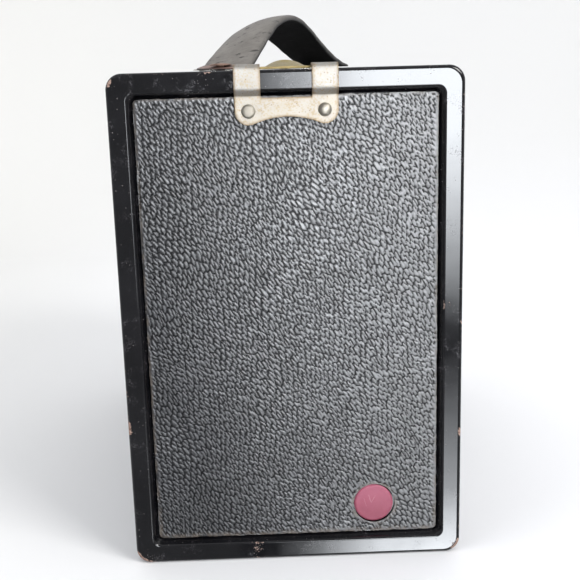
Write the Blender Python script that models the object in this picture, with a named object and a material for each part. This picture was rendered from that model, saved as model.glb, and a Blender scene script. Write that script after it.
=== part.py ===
"""Box camera for 2 1/2 x 4 1/4 inch pictures on roll film, modelled as its separate pieces.

Every size below is in millimetres, and add_part() turns the finished mesh into Blender's metres.
X points right as the photographer holds the camera, +Y is the way the lens looks, and +Z is up.
The origin is on the bottom, midway between the sides and midway between back and front.
"""

import math

import bmesh
import bpy
from mathutils import Matrix, Vector

MM = 0.001

# Driving dimensions of the box
WIDTH = 86.0
HEIGHT = 127.0
LENGTH = 152.0
GAP = 0.3  # running gap left between pieces that touch
MID_Z = HEIGHT / 2
REAR_Y = -LENGTH / 2
FRONT_Y = LENGTH / 2

# Pressed steel trays: the back door and the front share one section
SHEET = 0.7
CORNER = 3.2  # outer corner radius, seen from the back
CORNER_TAPER = 0.33  # how much tighter a corner gets for each millimetre inwards
SKIRT = 8.0
EDGE_ROUND = 1.0
SLOPE_START = 3.9  # distance in from the edge where the flat rim begins to fall
SLOPE_END = 6.1
RECESS = 2.3
LEATHER = 0.5
EDGE_STEPS = 2
SLOPE_STEPS = 4

# Body tube and its covering
SHELL_HALF_X = WIDTH / 2 - SHEET - GAP
SHELL_HALF_Z = HEIGHT / 2 - SHEET - GAP
SHELL_WALL = 1.2
SHELL_CORNER = 2.9
SHELL_END = LENGTH / 2 - 3.5
COVER_END = LENGTH / 2 - SKIRT - 0.5
INNER_X = SHELL_HALF_X - SHELL_WALL
INNER_Z = SHELL_HALF_Z - SHELL_WALL

# Door hinge under the rear edge
HINGE_Y = REAR_Y + SKIRT + 2.8
HINGE_Z = 1.6
KNUCKLE_R = 1.6
KNUCKLE_BORE = 0.9
HINGE_PIN_R = 0.6
HINGE_HALF = 20.0
HINGE_MIDDLE = 7.7  # half the length of the body's knuckle

# Latch: one sprung stamping with two arms over the top edge, made here as a foot and a lifting hasp
LATCH_HALF = 12.5
LATCH_INNER = 6.1
LATCH_SHEET = 0.6
LATCH_TOP = HEIGHT + 1.6
LATCH_OUT_Y = REAR_Y - 0.95
LATCH_BEND = 1.5
LATCH_AXIS = (0.0, REAR_Y + 0.85, LATCH_TOP - LATCH_SHEET / 2)
HASP_TOP = HEIGHT + GAP + LATCH_SHEET
HASP_REAR_Y = REAR_Y + 5.6
HASP_FRONT_Y = REAR_Y + 15.9
RIVET_X = 9.2
RIVET_Z = HEIGHT - 9.7
RIVET_R = 1.7
RIVET_SHANK_R = 0.8
DOME_Y = REAR_Y + 10.7
DOME_R = 4.4
DOME_RISE = 1.8
CATCH_R = 1.2
CATCH_TOP = HEIGHT + 1.1

# Red window low on the right of the door
WINDOW_X = 20.2
WINDOW_Z = 14.3
WINDOW_R = 5.3

# Handle strap: it runs from rear left to front right
STRAP_REAR = Vector((-14.6, -47.0, 0.0))
STRAP_FRONT = Vector((14.8, 15.0, 0.0))
STRAP_WIDTH = 15.4
STRAP_THICK = 1.8
STRAP_RISE = 11.8
STRAP_LEAN = 0.68  # below 1 the strap is highest nearer its rear foot
STRAP_TWIST = math.radians(13)  # how far the top of the arch rolls, right edge up
STRAP_FOOT = 8.0
STUD_SHANK_R = 1.2
STUD_HEAD_R = 3.0
STUD_DEPTH = 3.2

# Film path
FILM_Y = REAR_Y + 8.9
SPOOL_Y = 12.0
SPOOL_OFFSET = 43.5  # above and below the lens axis
SPOOL_R = 13.5
SPOOL_CORE_R = 6.0
SPOOL_HALF = 37.3
SPOOL_SOCKET = 3.8
SPOOL_BORE = 2.6
SPOOL_PIN_R = 2.0
ROLLER_R = 2.6
ROLLER_OFFSET = 57.2
ROLLER_STUB_R = 1.3
PLATE_X = 38.6  # inner face of the film carrier's side plates
PLATE_SHEET = 1.0
FRAME_HALF_X = 31.75
FRAME_HALF_Z = 53.0
CONE_NECK = 12.0
CONE_END_Y = 50.0

# Winding key on the right-hand side
KEY_Z = MID_Z + SPOOL_OFFSET
KEY_AXIS = (WIDTH / 2, SPOOL_Y, KEY_Z)
KEY_TUBE_R = 3.1
KEY_WING_R = 3.8

# Front works, from the back forwards
BOARD_Y = 56.5
BOARD_THICK = 2.0
PLATE_THICK = 0.8
BASE_PLATE_Y = BOARD_Y + BOARD_THICK + GAP
DISC_Y = BASE_PLATE_Y + PLATE_THICK + 0.6
DISC_THICK = 0.4
DISC_PIVOT_Z = MID_Z - 21.5
DISC_R = 29.0
DISC_SLOT_HALF = math.radians(15)
DISC_SPREAD = math.radians(55)
DISC_REST = math.radians(35)
LEVER_Y = DISC_Y + 1.8
LEVER_THICK = 1.0
LEVER_PIVOT = (31.5, MID_Z - 17.5)
LEVER_REST = math.radians(-12)
SLIDE_Y = LEVER_Y + 2.2
SLIDE_THICK = 0.6
APERTURE_STEP = 12.5
APERTURE_RADII = (5.5, 3.9, 2.8)
APERTURE_TAB_X = (9.0, 14.0)
TIME_TAB_X = (17.5, 21.5)
TAB_RISE = 2.2
COVER_PLATE_Y = SLIDE_Y + 1.4
LENS_R = 7.4
LENS_HOLE_R = 10.0
BEZEL_DEPTH = 3.2
CELL_DEPTH = 4.7

# Two reflecting finders: window centres and the half size of a window
FINDER_Y = 57.5
FINDER_HALF = 7.0
TOP_FINDER_X = -22.0
TOP_FINDER_Z = 113.5
SIDE_FINDER_X = 30.5
SIDE_FINDER_Z = 93.0
FINDER_HOLE_R = 4.0

# Tripod sockets, quarter-inch thread drawn as a plain bore
TRIPOD_Y = 38.0
TRIPOD_BORE = 3.1
TRIPOD_FLANGE_R = 7.0
TRIPOD_BODY_R = 5.3
TRIPOD_DEPTH = 8.0

ROUND_SEGMENTS = 24
SMALL_SEGMENTS = 16
BEZEL_SEGMENTS = 32
CORNER_SEGMENTS = 4

PLACE = {
    "x": lambda u, v, n: Vector((n, u, v)),
    "y": lambda u, v, n: Vector((u, n, v)),
    "z": lambda u, v, n: Vector((u, v, n)),
}


# ---------------------------------------------------------------- outlines and solids


def rounded_rectangle(half_u, half_v, radius, centre=(0.0, 0.0), segments=CORNER_SEGMENTS):
    """Points around a rectangle with round corners, in the plane's own u and v."""
    points = []
    for corner, (su, sv) in enumerate(((1, 1), (-1, 1), (-1, -1), (1, -1))):
        for step in range(segments + 1):
            angle = math.radians(90 * (corner + step / segments))
            u = centre[0] + su * (half_u - radius) + radius * math.cos(angle)
            v = centre[1] + sv * (half_v - radius) + radius * math.sin(angle)
            points.append((u, v))
    return points


def arc(centre, radius, start, end, steps):
    """Points on an arc, angles in degrees."""
    angles = [math.radians(start + (end - start) * i / steps) for i in range(steps + 1)]
    return [(centre[0] + radius * math.cos(a), centre[1] + radius * math.sin(a)) for a in angles]


def loop_at(axis, outline, n):
    return [PLACE[axis](u, v, n) for u, v in outline]


def bridge(bm, first, second):
    """Quads between two equal loops of vertices."""
    for i in range(len(first)):
        j = (i + 1) % len(first)
        bm.faces.new((first[i], first[j], second[j], second[i]))


def loft(loops, ring=False):
    """A closed mesh through equal loops of points, capped at both ends or joined round into a ring."""
    bm = bmesh.new()
    rows = [[bm.verts.new(point) for point in loop] for loop in loops]
    for first, second in zip(rows, rows[1:]):
        bridge(bm, first, second)
    if ring:
        bridge(bm, rows[-1], rows[0])
    else:
        bm.faces.new(rows[0][::-1])
        bm.faces.new(rows[-1])
    bmesh.ops.recalc_face_normals(bm, faces=bm.faces)
    return bm


def prism(axis, outline, start, end):
    return loft([loop_at(axis, outline, start), loop_at(axis, outline, end)])


def box(low, high):
    outline = [(low[0], low[1]), (high[0], low[1]), (high[0], high[1]), (low[0], high[1])]
    return prism("z", outline, low[2], high[2])


def tube(axis, outer, inner, start, end):
    """A prism with a hole: both outlines have the same number of points."""
    loops = [loop_at(axis, outer, start), loop_at(axis, outer, end)]
    loops += [loop_at(axis, inner, end), loop_at(axis, inner, start)]
    return loft(loops, ring=True)


def turned(axis, centre, profile, ring=False, segments=ROUND_SEGMENTS):
    """A turned solid: profile is (radius, position along the axis), closed as a ring if it has a bore."""
    loops = []
    for radius, n in profile:
        outline = arc(centre, radius, 0, 360 - 360 / segments, segments - 1)
        loops.append(loop_at(axis, outline, n))
    return loft(loops, ring)


def rod(axis, centre, radius, start, end, segments=ROUND_SEGMENTS):
    return turned(axis, centre, [(radius, start), (radius, end)], segments=segments)


def washer(axis, centre, outer, inner, start, end, segments=ROUND_SEGMENTS):
    profile = [(outer, start), (outer, end), (inner, end), (inner, start)]
    return turned(axis, centre, profile, True, segments)


# ---------------------------------------------------------------- objects


def clear_scene():
    for obj in list(bpy.data.objects):
        bpy.data.objects.remove(obj)


def material(name, colour, roughness, metallic=0.0):
    """One shared Principled BSDF for each finish."""
    found = bpy.data.materials.get(name)
    if found:
        return found
    made = bpy.data.materials.new(name)
    made.use_nodes = True
    shader = made.node_tree.nodes["Principled BSDF"]
    shader.inputs["Base Color"].default_value = (*colour, 1.0)
    shader.inputs["Roughness"].default_value = roughness
    shader.inputs["Metallic"].default_value = metallic
    return made


def enamel():
    return material("black_enamel", (0.012, 0.012, 0.014), 0.12)


def leatherette():
    return material("leatherette", (0.055, 0.055, 0.06), 0.55)


def strap_leather():
    return material("strap_leather", (0.09, 0.075, 0.065), 0.6)


def latch_brass():
    return material("plated_brass", (0.78, 0.69, 0.52), 0.32, 1.0)


def nickel():
    return material("nickel", (0.62, 0.6, 0.56), 0.3, 1.0)


def sheet_steel():
    return material("sheet_steel", (0.35, 0.35, 0.36), 0.45, 1.0)


def black_metal():
    return material("blackened_metal", (0.03, 0.03, 0.03), 0.6, 0.4)


def glass():
    return material("glass", (0.85, 0.9, 0.9), 0.05)


def wood():
    return material("wood", (0.35, 0.22, 0.12), 0.7)


def red_celluloid():
    return material("red_celluloid", (0.32, 0.03, 0.06), 0.2)


def world_point(pivot):
    """Where a pivot is in millimetres, with every pivot above it added up."""
    point = Vector((0, 0, 0))
    while pivot:
        point += Vector(pivot.location) / MM
        pivot = pivot.parent
    return point


def new_object(name, bm, origin):
    """An object whose mesh is bm moved so that origin, in millimetres, is the object's own origin."""
    place = Matrix.Scale(MM, 4) @ Matrix.Translation(-Vector(origin))
    bmesh.ops.transform(bm, matrix=place, verts=bm.verts)
    mesh = bpy.data.meshes.new(name)
    bm.to_mesh(mesh)
    bm.free()
    mesh.shade_smooth()
    mesh.set_sharp_from_angle(angle=math.radians(35))
    obj = bpy.data.objects.new(name, mesh)
    bpy.context.scene.collection.objects.link(obj)
    return obj


def add_part(name, bm, finish, pivot=None):
    """A visible piece. With a pivot, an empty on the joint's axis, the piece hangs from it."""
    obj = new_object(name, bm, world_point(pivot))
    obj.data.materials.append(finish)
    obj.parent = pivot
    return obj


def helper(name, bm):
    """A body for a Boolean. It isn't part of the camera."""
    obj = new_object(name + "_helper", bm, (0, 0, 0))
    obj.hide_render = True
    obj.display_type = "WIRE"
    return obj


def boolean(target, operation, bodies):
    for body in bodies:
        modifier = target.modifiers.new(operation.title(), "BOOLEAN")
        modifier.operation = operation
        modifier.object = body


def cut(target, *bodies):
    boolean(target, "DIFFERENCE", bodies)


def join(target, *bodies):
    boolean(target, "UNION", bodies)


def pivot_at(name, point, parent=None):
    """An empty at a point in millimetres that moving pieces hang from."""
    empty = bpy.data.objects.new(name, None)
    empty.location = (Vector(point) - world_point(parent)) * MM
    empty.empty_display_size = 0.01
    empty.parent = parent
    bpy.context.scene.collection.objects.link(empty)
    return empty


# ---------------------------------------------------------------- pressed trays: door and front


def tray_loop(inset, y):
    radius = CORNER - CORNER_TAPER * inset
    outline = rounded_rectangle(WIDTH / 2 - inset, HEIGHT / 2 - inset, radius, (0, MID_Z))
    return loop_at("y", outline, y)


def smooth_step(t):
    return t * t * (3 - 2 * t)


def pressed_tray(face_y, inward):
    """A pressed lid: skirt, rounded edge, flat rim and a sunk panel. inward is +1 or -1 along Y."""
    outside = [(0.0, SKIRT)]
    for step in range(EDGE_STEPS + 1):
        angle = math.radians(90 * step / EDGE_STEPS)
        outside.append((EDGE_ROUND * (1 - math.cos(angle)), EDGE_ROUND * (1 - math.sin(angle))))
    for step in range(SLOPE_STEPS + 1):
        share = step / SLOPE_STEPS
        inset = SLOPE_START + (SLOPE_END - SLOPE_START) * share
        outside.append((inset, RECESS * smooth_step(share)))
    floor = RECESS + SHEET
    inside = [(SLOPE_END, floor), (SLOPE_END - SHEET, floor), (SLOPE_START - SHEET / 2, SHEET)]
    inside += [(EDGE_ROUND + 0.2, SHEET), (SHEET, EDGE_ROUND + 0.2), (SHEET, SKIRT)]
    loops = [tray_loop(inset, face_y + inward * depth) for inset, depth in outside + inside]
    panel = len(outside) - 1
    # Going round the section, the strip from the panel's outer face to its inner face is left open
    # and each side of the panel gets its own cap.
    bm = bmesh.new()
    rows = [[bm.verts.new(point) for point in loop] for loop in loops]
    for index, first in enumerate(rows):
        if index == panel:
            continue
        bridge(bm, first, rows[(index + 1) % len(rows)])
    bm.faces.new(rows[panel])
    bm.faces.new(rows[panel + 1][::-1])
    bmesh.ops.recalc_face_normals(bm, faces=bm.faces)
    return bm


def panel_leather(face_y, inward):
    """The leatherette that fills a tray's sunk panel."""
    margin = SLOPE_END + 0.1
    outline = rounded_rectangle(WIDTH / 2 - margin, HEIGHT / 2 - margin, 1.1, (0, MID_Z))
    back = face_y + inward * (RECESS - GAP)
    return prism("y", outline, back, back - inward * LEATHER)


# ---------------------------------------------------------------- body


def wall_openings():
    """Openings that go through both the body tube and its covering."""
    side = (INNER_X - 4, WIDTH / 2 + 4)
    top = (HEIGHT - 6, HEIGHT + 6)
    half = FINDER_HALF
    slot = (SLIDE_Y - 0.5, SLIDE_Y + SLIDE_THICK + 0.5)
    lever_z = LEVER_PIVOT[1]
    lever_half = (INNER_X - LEVER_PIVOT[0]) * math.tan(abs(LEVER_REST)) + 3.2
    bodies = {
        "key_hole": rod("x", KEY_AXIS[1:], KEY_TUBE_R + GAP, *side),
        "lever_slot": box(
            (side[0], LEVER_Y - 0.6, lever_z - lever_half),
            (side[1], LEVER_Y + LEVER_THICK + 0.6, lever_z + lever_half),
        ),
        "side_window": box(
            (side[0], FINDER_Y - half, SIDE_FINDER_Z - half), (side[1], FINDER_Y + half, SIDE_FINDER_Z + half)
        ),
        "top_window": box(
            (TOP_FINDER_X - half, FINDER_Y - half, top[0]), (TOP_FINDER_X + half, FINDER_Y + half, top[1])
        ),
        "catch_hole": rod("z", (0, DOME_Y), CATCH_R + GAP, *top, segments=SMALL_SEGMENTS),
        "hinge_slot": box(
            (-HINGE_HALF - 0.7, HINGE_Y - 2.2, -1), (HINGE_HALF + 0.7, HINGE_Y + 2.1, SHELL_WALL + 2)
        ),
    }
    for name, (left, right) in (("aperture_slot", APERTURE_TAB_X), ("time_slot", TIME_TAB_X)):
        bodies[name] = box((left - 0.4, slot[0], top[0]), (right + 0.4, slot[1], top[1]))
    for end, foot in zip(("rear", "front"), foot_centres()):
        hole = rod("z", foot.xy, STUD_SHANK_R + GAP, *top, segments=SMALL_SEGMENTS)
        bodies[f"{end}_stud_hole"] = hole
    return [helper(name, bm) for name, bm in bodies.items()]


def build_body():
    openings = wall_openings()
    shell_outer = rounded_rectangle(SHELL_HALF_X, SHELL_HALF_Z, SHELL_CORNER, (0, MID_Z))
    shell_inner = rounded_rectangle(INNER_X, INNER_Z, SHELL_CORNER - SHELL_WALL, (0, MID_Z))
    shell = add_part("body_shell", tube("y", shell_outer, shell_inner, -SHELL_END, SHELL_END), sheet_steel())
    cover_outer = rounded_rectangle(WIDTH / 2, HEIGHT / 2, CORNER, (0, MID_Z))
    cover_inner = rounded_rectangle(WIDTH / 2 - SHEET, HEIGHT / 2 - SHEET, CORNER - 0.2, (0, MID_Z))
    wrap = tube("y", cover_outer, cover_inner, -COVER_END, COVER_END)
    covering = add_part("body_covering", wrap, leatherette())
    cut(shell, *openings, *bush_holes("shell", TRIPOD_BODY_R + GAP))
    cut(covering, *openings, *bush_holes("covering", TRIPOD_FLANGE_R + GAP))
    notch = box((-HINGE_HALF - 0.7, -COVER_END - 2, -1), (HINGE_HALF + 0.7, HINGE_Y, SHEET + GAP / 2))
    cut(covering, helper("hinge_notch", notch))


def build_front():
    front = add_part("front_frame", pressed_tray(FRONT_Y, -1), enamel())
    leather = add_part("front_covering", panel_leather(FRONT_Y, -1), leatherette())
    reach = (FRONT_Y - SKIRT, FRONT_Y + 4)
    cut(front, helper("front_lens_hole", rod("y", (0, MID_Z), LENS_HOLE_R + GAP, *reach)))
    cut(leather, helper("leather_lens_hole", rod("y", (0, MID_Z), LENS_HOLE_R + 0.6, *reach)))
    for x, z in ((TOP_FINDER_X, TOP_FINDER_Z), (SIDE_FINDER_X, SIDE_FINDER_Z)):
        hole = helper("finder_hole", rod("y", (x, z), FINDER_HOLE_R, *reach))
        cut(front, hole)
        cut(leather, hole)
    face = FRONT_Y - (RECESS - GAP - LEATHER)
    back = face - BEZEL_DEPTH
    profile = [(LENS_HOLE_R + 3.6, face + GAP), (LENS_HOLE_R + 3.2, face + 0.9), (LENS_HOLE_R + 0.3, face + 0.9)]
    profile += [(LENS_HOLE_R - 1.2, back), (LENS_HOLE_R, back), (LENS_HOLE_R, face + GAP)]
    add_part("lens_bezel", turned("y", (0, MID_Z), profile, True, BEZEL_SEGMENTS), nickel())


# ---------------------------------------------------------------- door, hinge and latch


def knuckle(start, end):
    return washer("x", (HINGE_Y, HINGE_Z), KNUCKLE_R, KNUCKLE_BORE, start, end, SMALL_SEGMENTS)


def rivet_holes(name):
    return [
        helper(name, rod("y", (x, RIVET_Z), RIVET_SHANK_R + GAP, REAR_Y - 2, REAR_Y + 6, SMALL_SEGMENTS))
        for x in (-RIVET_X, RIVET_X)
    ]


def build_door():
    """The back door with its covering and window, hung on the hinge's pivot."""
    hinge = pivot_at("door_pivot", (0, HINGE_Y, HINGE_Z))
    door = add_part("back_door", pressed_tray(REAR_Y, 1), enamel(), hinge)
    for side in (-1, 1):
        near, far = sorted((side * (HINGE_MIDDLE + GAP), side * HINGE_HALF))
        tab = box((near, REAR_Y + SKIRT - 2, 0), (far, HINGE_Y - 1.0, SHEET))
        join(door, helper("door_tab", tab), helper("door_knuckle", knuckle(near, far)))
    through = (REAR_Y - 2, REAR_Y + 6)
    window = (WINDOW_X, WINDOW_Z)
    cut(door, helper("window_hole", rod("y", window, WINDOW_R - 0.8, *through)), *rivet_holes("door_rivet_hole"))

    leather = add_part("door_covering", panel_leather(REAR_Y, 1), leatherette(), hinge)
    leather_hole = helper("leather_window_hole", rod("y", window, WINDOW_R, *through))
    cut(leather, leather_hole, *rivet_holes("leather_rivet_hole"))

    front = REAR_Y + RECESS - GAP
    disc = [(WINDOW_R - GAP, front), (WINDOW_R - GAP, front - 0.15), (WINDOW_R - 1.2, front - 0.3)]
    add_part("red_window", turned("y", window, disc), red_celluloid(), hinge)
    back = REAR_Y + RECESS + SHEET + GAP
    retainer = washer("y", window, WINDOW_R + 1.7, WINDOW_R - 0.8, back, back + 0.7)
    add_part("window_retainer", retainer, sheet_steel(), hinge)
    return hinge


def build_hinge():
    """The body's half of the hinge and the pin through all the knuckles."""
    reach = HINGE_HALF + 0.3
    pin = rod("x", (HINGE_Y, HINGE_Z), HINGE_PIN_R, -reach, reach, SMALL_SEGMENTS)
    add_part("hinge_pin", pin, nickel())
    leaf = add_part("body_hinge_leaf", knuckle(-HINGE_MIDDLE, HINGE_MIDDLE), nickel())
    low = SHELL_WALL + SHEET + 2 * GAP
    high = HINGE_Z + KNUCKLE_R
    root = box((-HINGE_MIDDLE, HINGE_Y + 0.6, low), (HINGE_MIDDLE, HINGE_Y + 12, high))
    wide = box((-15, HINGE_Y + 4, low), (15, HINGE_Y + 12, high))
    join(leaf, helper("leaf_root", root), helper("leaf_wide", wide))


def latch_foot_outline():
    """The riveted foot: two round lobes with a shallow arch between them."""
    lobe = LATCH_HALF - RIVET_X
    bottom = RIVET_Z - lobe + 0.1
    top = HEIGHT - 5.9
    notch = top - 0.6
    half_arch = RIVET_X - 1.0
    rise = 1.6
    steps = 6
    outline = arc((-RIVET_X, RIVET_Z), lobe, 180, 285, 5)
    for step in range(1, steps):
        x = half_arch * (2 * step / steps - 1)
        outline.append((x, bottom + rise * (1 - (x / half_arch) ** 2)))
    outline += arc((RIVET_X, RIVET_Z), lobe, 255, 360, 5)
    outline += [(LATCH_HALF, top), (LATCH_INNER, top), (LATCH_INNER, notch)]
    outline += [(-LATCH_INNER, notch), (-LATCH_INNER, top), (-LATCH_HALF, top)]
    return outline


def foot_arm_section(foot_y):
    """Side view (y, z) of an arm: up from the foot, out over the rim and round the top edge."""
    low, high = HEIGHT - 6.4, HEIGHT - 4.7
    sheet = LATCH_SHEET
    bend = (LATCH_OUT_Y + LATCH_BEND, LATCH_TOP - LATCH_BEND)
    end = LATCH_AXIS[1] - GAP / 2
    outer = [(foot_y - sheet, low), (foot_y - sheet, low + 0.5), (LATCH_OUT_Y, high)]
    outer += arc(bend, LATCH_BEND, 180, 90, 4) + [(end, LATCH_TOP)]
    inner = [(end, LATCH_TOP - sheet)] + arc(bend, LATCH_BEND - sheet, 90, 180, 4)
    inner += [(LATCH_OUT_Y + sheet, high - 0.3), (foot_y, low + 0.2), (foot_y, low)]
    return outer + inner


def hasp_arm_section():
    """Side view (y, z) of an arm of the hasp: down from the bend to the cross plate."""
    start = LATCH_AXIS[1] + GAP / 2
    level = HASP_REAR_Y - 0.8
    end = HASP_REAR_Y + 1.0
    outer = [(start, LATCH_TOP), (start, LATCH_TOP - LATCH_SHEET), (level, HASP_TOP - LATCH_SHEET)]
    return outer + [(end, HASP_TOP - LATCH_SHEET), (end, HASP_TOP), (level, HASP_TOP)]


def dome_profile(shrink):
    """Half section of the round dome, from its rim to near the middle."""
    radius = DOME_R - shrink
    rise = DOME_RISE - shrink * 0.8
    steps = 4
    points = [(radius, HASP_TOP - LATCH_SHEET - (1 if shrink else 0)), (radius, HASP_TOP - shrink * 0.4)]
    for step in range(1, steps + 1):
        share = 1 - step / (steps + 0.8)
        points.append((radius * share, HASP_TOP - shrink * 0.4 + rise * (1 - share**2)))
    return points


def build_latch(hinge):
    """The foot riveted to the door, its rivets, and the hasp that lifts off the catch."""
    foot_y = REAR_Y + RECESS - GAP - LEATHER - GAP
    outline = latch_foot_outline()
    plate = prism("y", outline, foot_y - LATCH_SHEET, foot_y)
    plate = add_part("latch_plate", plate, latch_brass(), hinge)
    arms = [sorted((side * LATCH_INNER, side * LATCH_HALF)) for side in (-1, 1)]
    for near, far in arms:
        join(plate, helper("foot_arm", prism("x", foot_arm_section(foot_y), near, far)))
    cut(plate, *rivet_holes("foot_rivet_hole"))
    head = foot_y - LATCH_SHEET - GAP
    tail = REAR_Y + RECESS + SHEET + GAP
    profile = [(RIVET_R - 0.5, head - 0.75), (RIVET_R - 0.12, head - 0.45), (RIVET_R, head)]
    profile += [(RIVET_SHANK_R, head), (RIVET_SHANK_R, tail), (2 * RIVET_SHANK_R, tail)]
    profile += [(2 * RIVET_SHANK_R, tail + 0.6)]
    for name, x in (("latch_rivet_left", -RIVET_X), ("latch_rivet_right", RIVET_X)):
        add_part(name, turned("y", (x, RIVET_Z), profile, segments=SMALL_SEGMENTS), nickel(), hinge)

    latch = pivot_at("latch_pivot", LATCH_AXIS, hinge)
    turn = 4.0
    outline = [(-LATCH_HALF, HASP_REAR_Y), (LATCH_HALF, HASP_REAR_Y)]
    outline += arc((LATCH_HALF - turn, HASP_FRONT_Y - turn), turn, 0, 90, 5)
    outline += arc((turn - LATCH_HALF, HASP_FRONT_Y - turn), turn, 90, 180, 5)
    hasp = prism("z", outline, HASP_TOP - LATCH_SHEET, HASP_TOP)
    hasp = add_part("latch_hasp", hasp, latch_brass(), latch)
    for near, far in arms:
        join(hasp, helper("hasp_arm", prism("x", hasp_arm_section(), near, far)))
    join(hasp, helper("hasp_dome", turned("z", (0, DOME_Y), dome_profile(0.0))))
    lead_in = box(
        (-CATCH_R - 0.5, DOME_Y, HEIGHT - 1), (CATCH_R + 0.5, HASP_FRONT_Y + 1, CATCH_TOP + 2 * GAP)
    )
    cut(hasp, helper("hasp_hollow", turned("z", (0, DOME_Y), dome_profile(0.6))), helper("hasp_lead_in", lead_in))

    post = [(CATCH_R, HEIGHT - STUD_DEPTH), (CATCH_R, CATCH_TOP - 0.3), (CATCH_R - 0.4, CATCH_TOP)]
    add_part("latch_catch", turned("z", (0, DOME_Y), post, segments=SMALL_SEGMENTS), nickel())


# ---------------------------------------------------------------- handle


def foot_centres():
    """Where the studs go through the strap's two flat feet."""
    along = (STRAP_FRONT - STRAP_REAR).normalized()
    reach = along * STRAP_FOOT * 0.55
    return STRAP_REAR - reach, STRAP_FRONT + reach


def strap_path():
    """Points (distance along the strap, height of its underside, roll) from rear foot to front foot."""
    reach = (STRAP_FRONT - STRAP_REAR).length
    base = HEIGHT + GAP
    steps = 14
    points = [(-STRAP_FOOT, base, 0.0), (-STRAP_FOOT / 2, base, 0.0), (0.0, base, 0.0)]
    for step in range(1, steps):
        share = step / steps
        arch = math.sin(math.pi * share**STRAP_LEAN)
        points.append((reach * share, base + STRAP_RISE * arch**1.25, STRAP_TWIST * arch**2))
    points += [(reach, base, 0.0), (reach + STRAP_FOOT / 2, base, 0.0), (reach + STRAP_FOOT, base, 0.0)]
    return points


def build_handle():
    along = (STRAP_FRONT - STRAP_REAR).normalized()
    across = Vector((-along.y, along.x, 0.0))
    path = strap_path()
    loops = []
    for index, (distance, height, roll) in enumerate(path):
        before = path[max(index - 1, 0)]
        after = path[min(index + 1, len(path) - 1)]
        slope = math.atan2(after[1] - before[1], after[0] - before[0])
        tangent = along * math.cos(slope) + Vector((0, 0, math.sin(slope)))
        turn = Matrix.Rotation(-roll, 3, tangent)
        half = turn @ across * (STRAP_WIDTH / 2)
        lift = turn @ tangent.cross(across) * STRAP_THICK
        centre = STRAP_REAR + along * distance + Vector((0, 0, height))
        if index in (0, len(path) - 1):
            half = half * 0.62
        loops.append([centre - half, centre + half, centre + half + lift, centre - half + lift])
    strap = add_part("handle_strap", loft(loops), strap_leather())
    top = HEIGHT + GAP + STRAP_THICK + GAP
    profile = [(STUD_SHANK_R, HEIGHT - STUD_DEPTH), (STUD_SHANK_R, top), (STUD_HEAD_R, top)]
    profile += [(STUD_HEAD_R, top + 0.3), (STUD_HEAD_R - 0.8, top + 0.8), (0.9, top + 1.0)]
    for name, foot in zip(("handle_stud_rear", "handle_stud_front"), foot_centres()):
        hole = rod("z", foot.xy, STUD_SHANK_R + GAP, HEIGHT - 6, HEIGHT + 8, SMALL_SEGMENTS)
        cut(strap, helper("strap_hole", hole))
        add_part(name, turned("z", foot.xy, profile, segments=SMALL_SEGMENTS), nickel())


# ---------------------------------------------------------------- film carrier, spools and rollers


def cone_loop(half_x, half_z, y):
    return loop_at("y", rounded_rectangle(half_x, half_z, 0.8, (0, MID_Z), segments=1), y)


def build_carrier():
    """The cone behind the lens with the film gate at its wide end, and the two side plates."""
    wall = 0.8
    rear = FILM_Y + GAP
    outer_x, outer_z = PLATE_X - 0.4, FRAME_HALF_Z + 1.2
    loops = [
        cone_loop(outer_x, outer_z, rear),
        cone_loop(outer_x, outer_z, rear + wall),
        cone_loop(FRAME_HALF_X + wall, FRAME_HALF_Z + wall, rear + wall),
        cone_loop(CONE_NECK + wall, CONE_NECK + wall, CONE_END_Y),
        cone_loop(CONE_NECK, CONE_NECK, CONE_END_Y),
        cone_loop(FRAME_HALF_X, FRAME_HALF_Z, rear),
    ]
    add_part("carrier_cone", loft(loops, ring=True), black_metal())
    end = SPOOL_Y + SPOOL_R + 1.5
    middle = ((end + rear) / 2, MID_Z)
    outline = rounded_rectangle((end - rear) / 2, INNER_Z - 1.0, 4.0, middle, segments=3)
    for name, side in (("carrier_plate_left", -1), ("carrier_plate_right", 1)):
        near, far = sorted((side * PLATE_X, side * (PLATE_X + PLATE_SHEET)))
        plate = add_part(name, prism("x", outline, near, far), sheet_steel())
        for sign in (-1, 1):
            spool = (SPOOL_Y, MID_Z + sign * SPOOL_OFFSET)
            roller = (FILM_Y + ROLLER_R, MID_Z + sign * ROLLER_OFFSET)
            pin_hole = rod("x", spool, SPOOL_PIN_R + GAP, near - 2, far + 2)
            stub_hole = rod("x", roller, ROLLER_STUB_R + GAP, near - 2, far + 2, SMALL_SEGMENTS)
            cut(plate, helper("spool_pin_hole", pin_hole), helper("roller_stub_hole", stub_hole))


def spool_pin(side, z):
    inner = SPOOL_HALF - SPOOL_SOCKET
    outer = PLATE_X + PLATE_SHEET + GAP
    profile = [(SPOOL_PIN_R - 0.5, inner), (SPOOL_PIN_R, inner + 0.6), (SPOOL_PIN_R, outer)]
    profile += [(SPOOL_PIN_R + 1.2, outer), (SPOOL_PIN_R + 1.2, outer + 0.5)]
    mirrored = [(radius, side * x) for radius, x in profile]
    return turned("x", (SPOOL_Y, z), mirrored, segments=SMALL_SEGMENTS)


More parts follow.
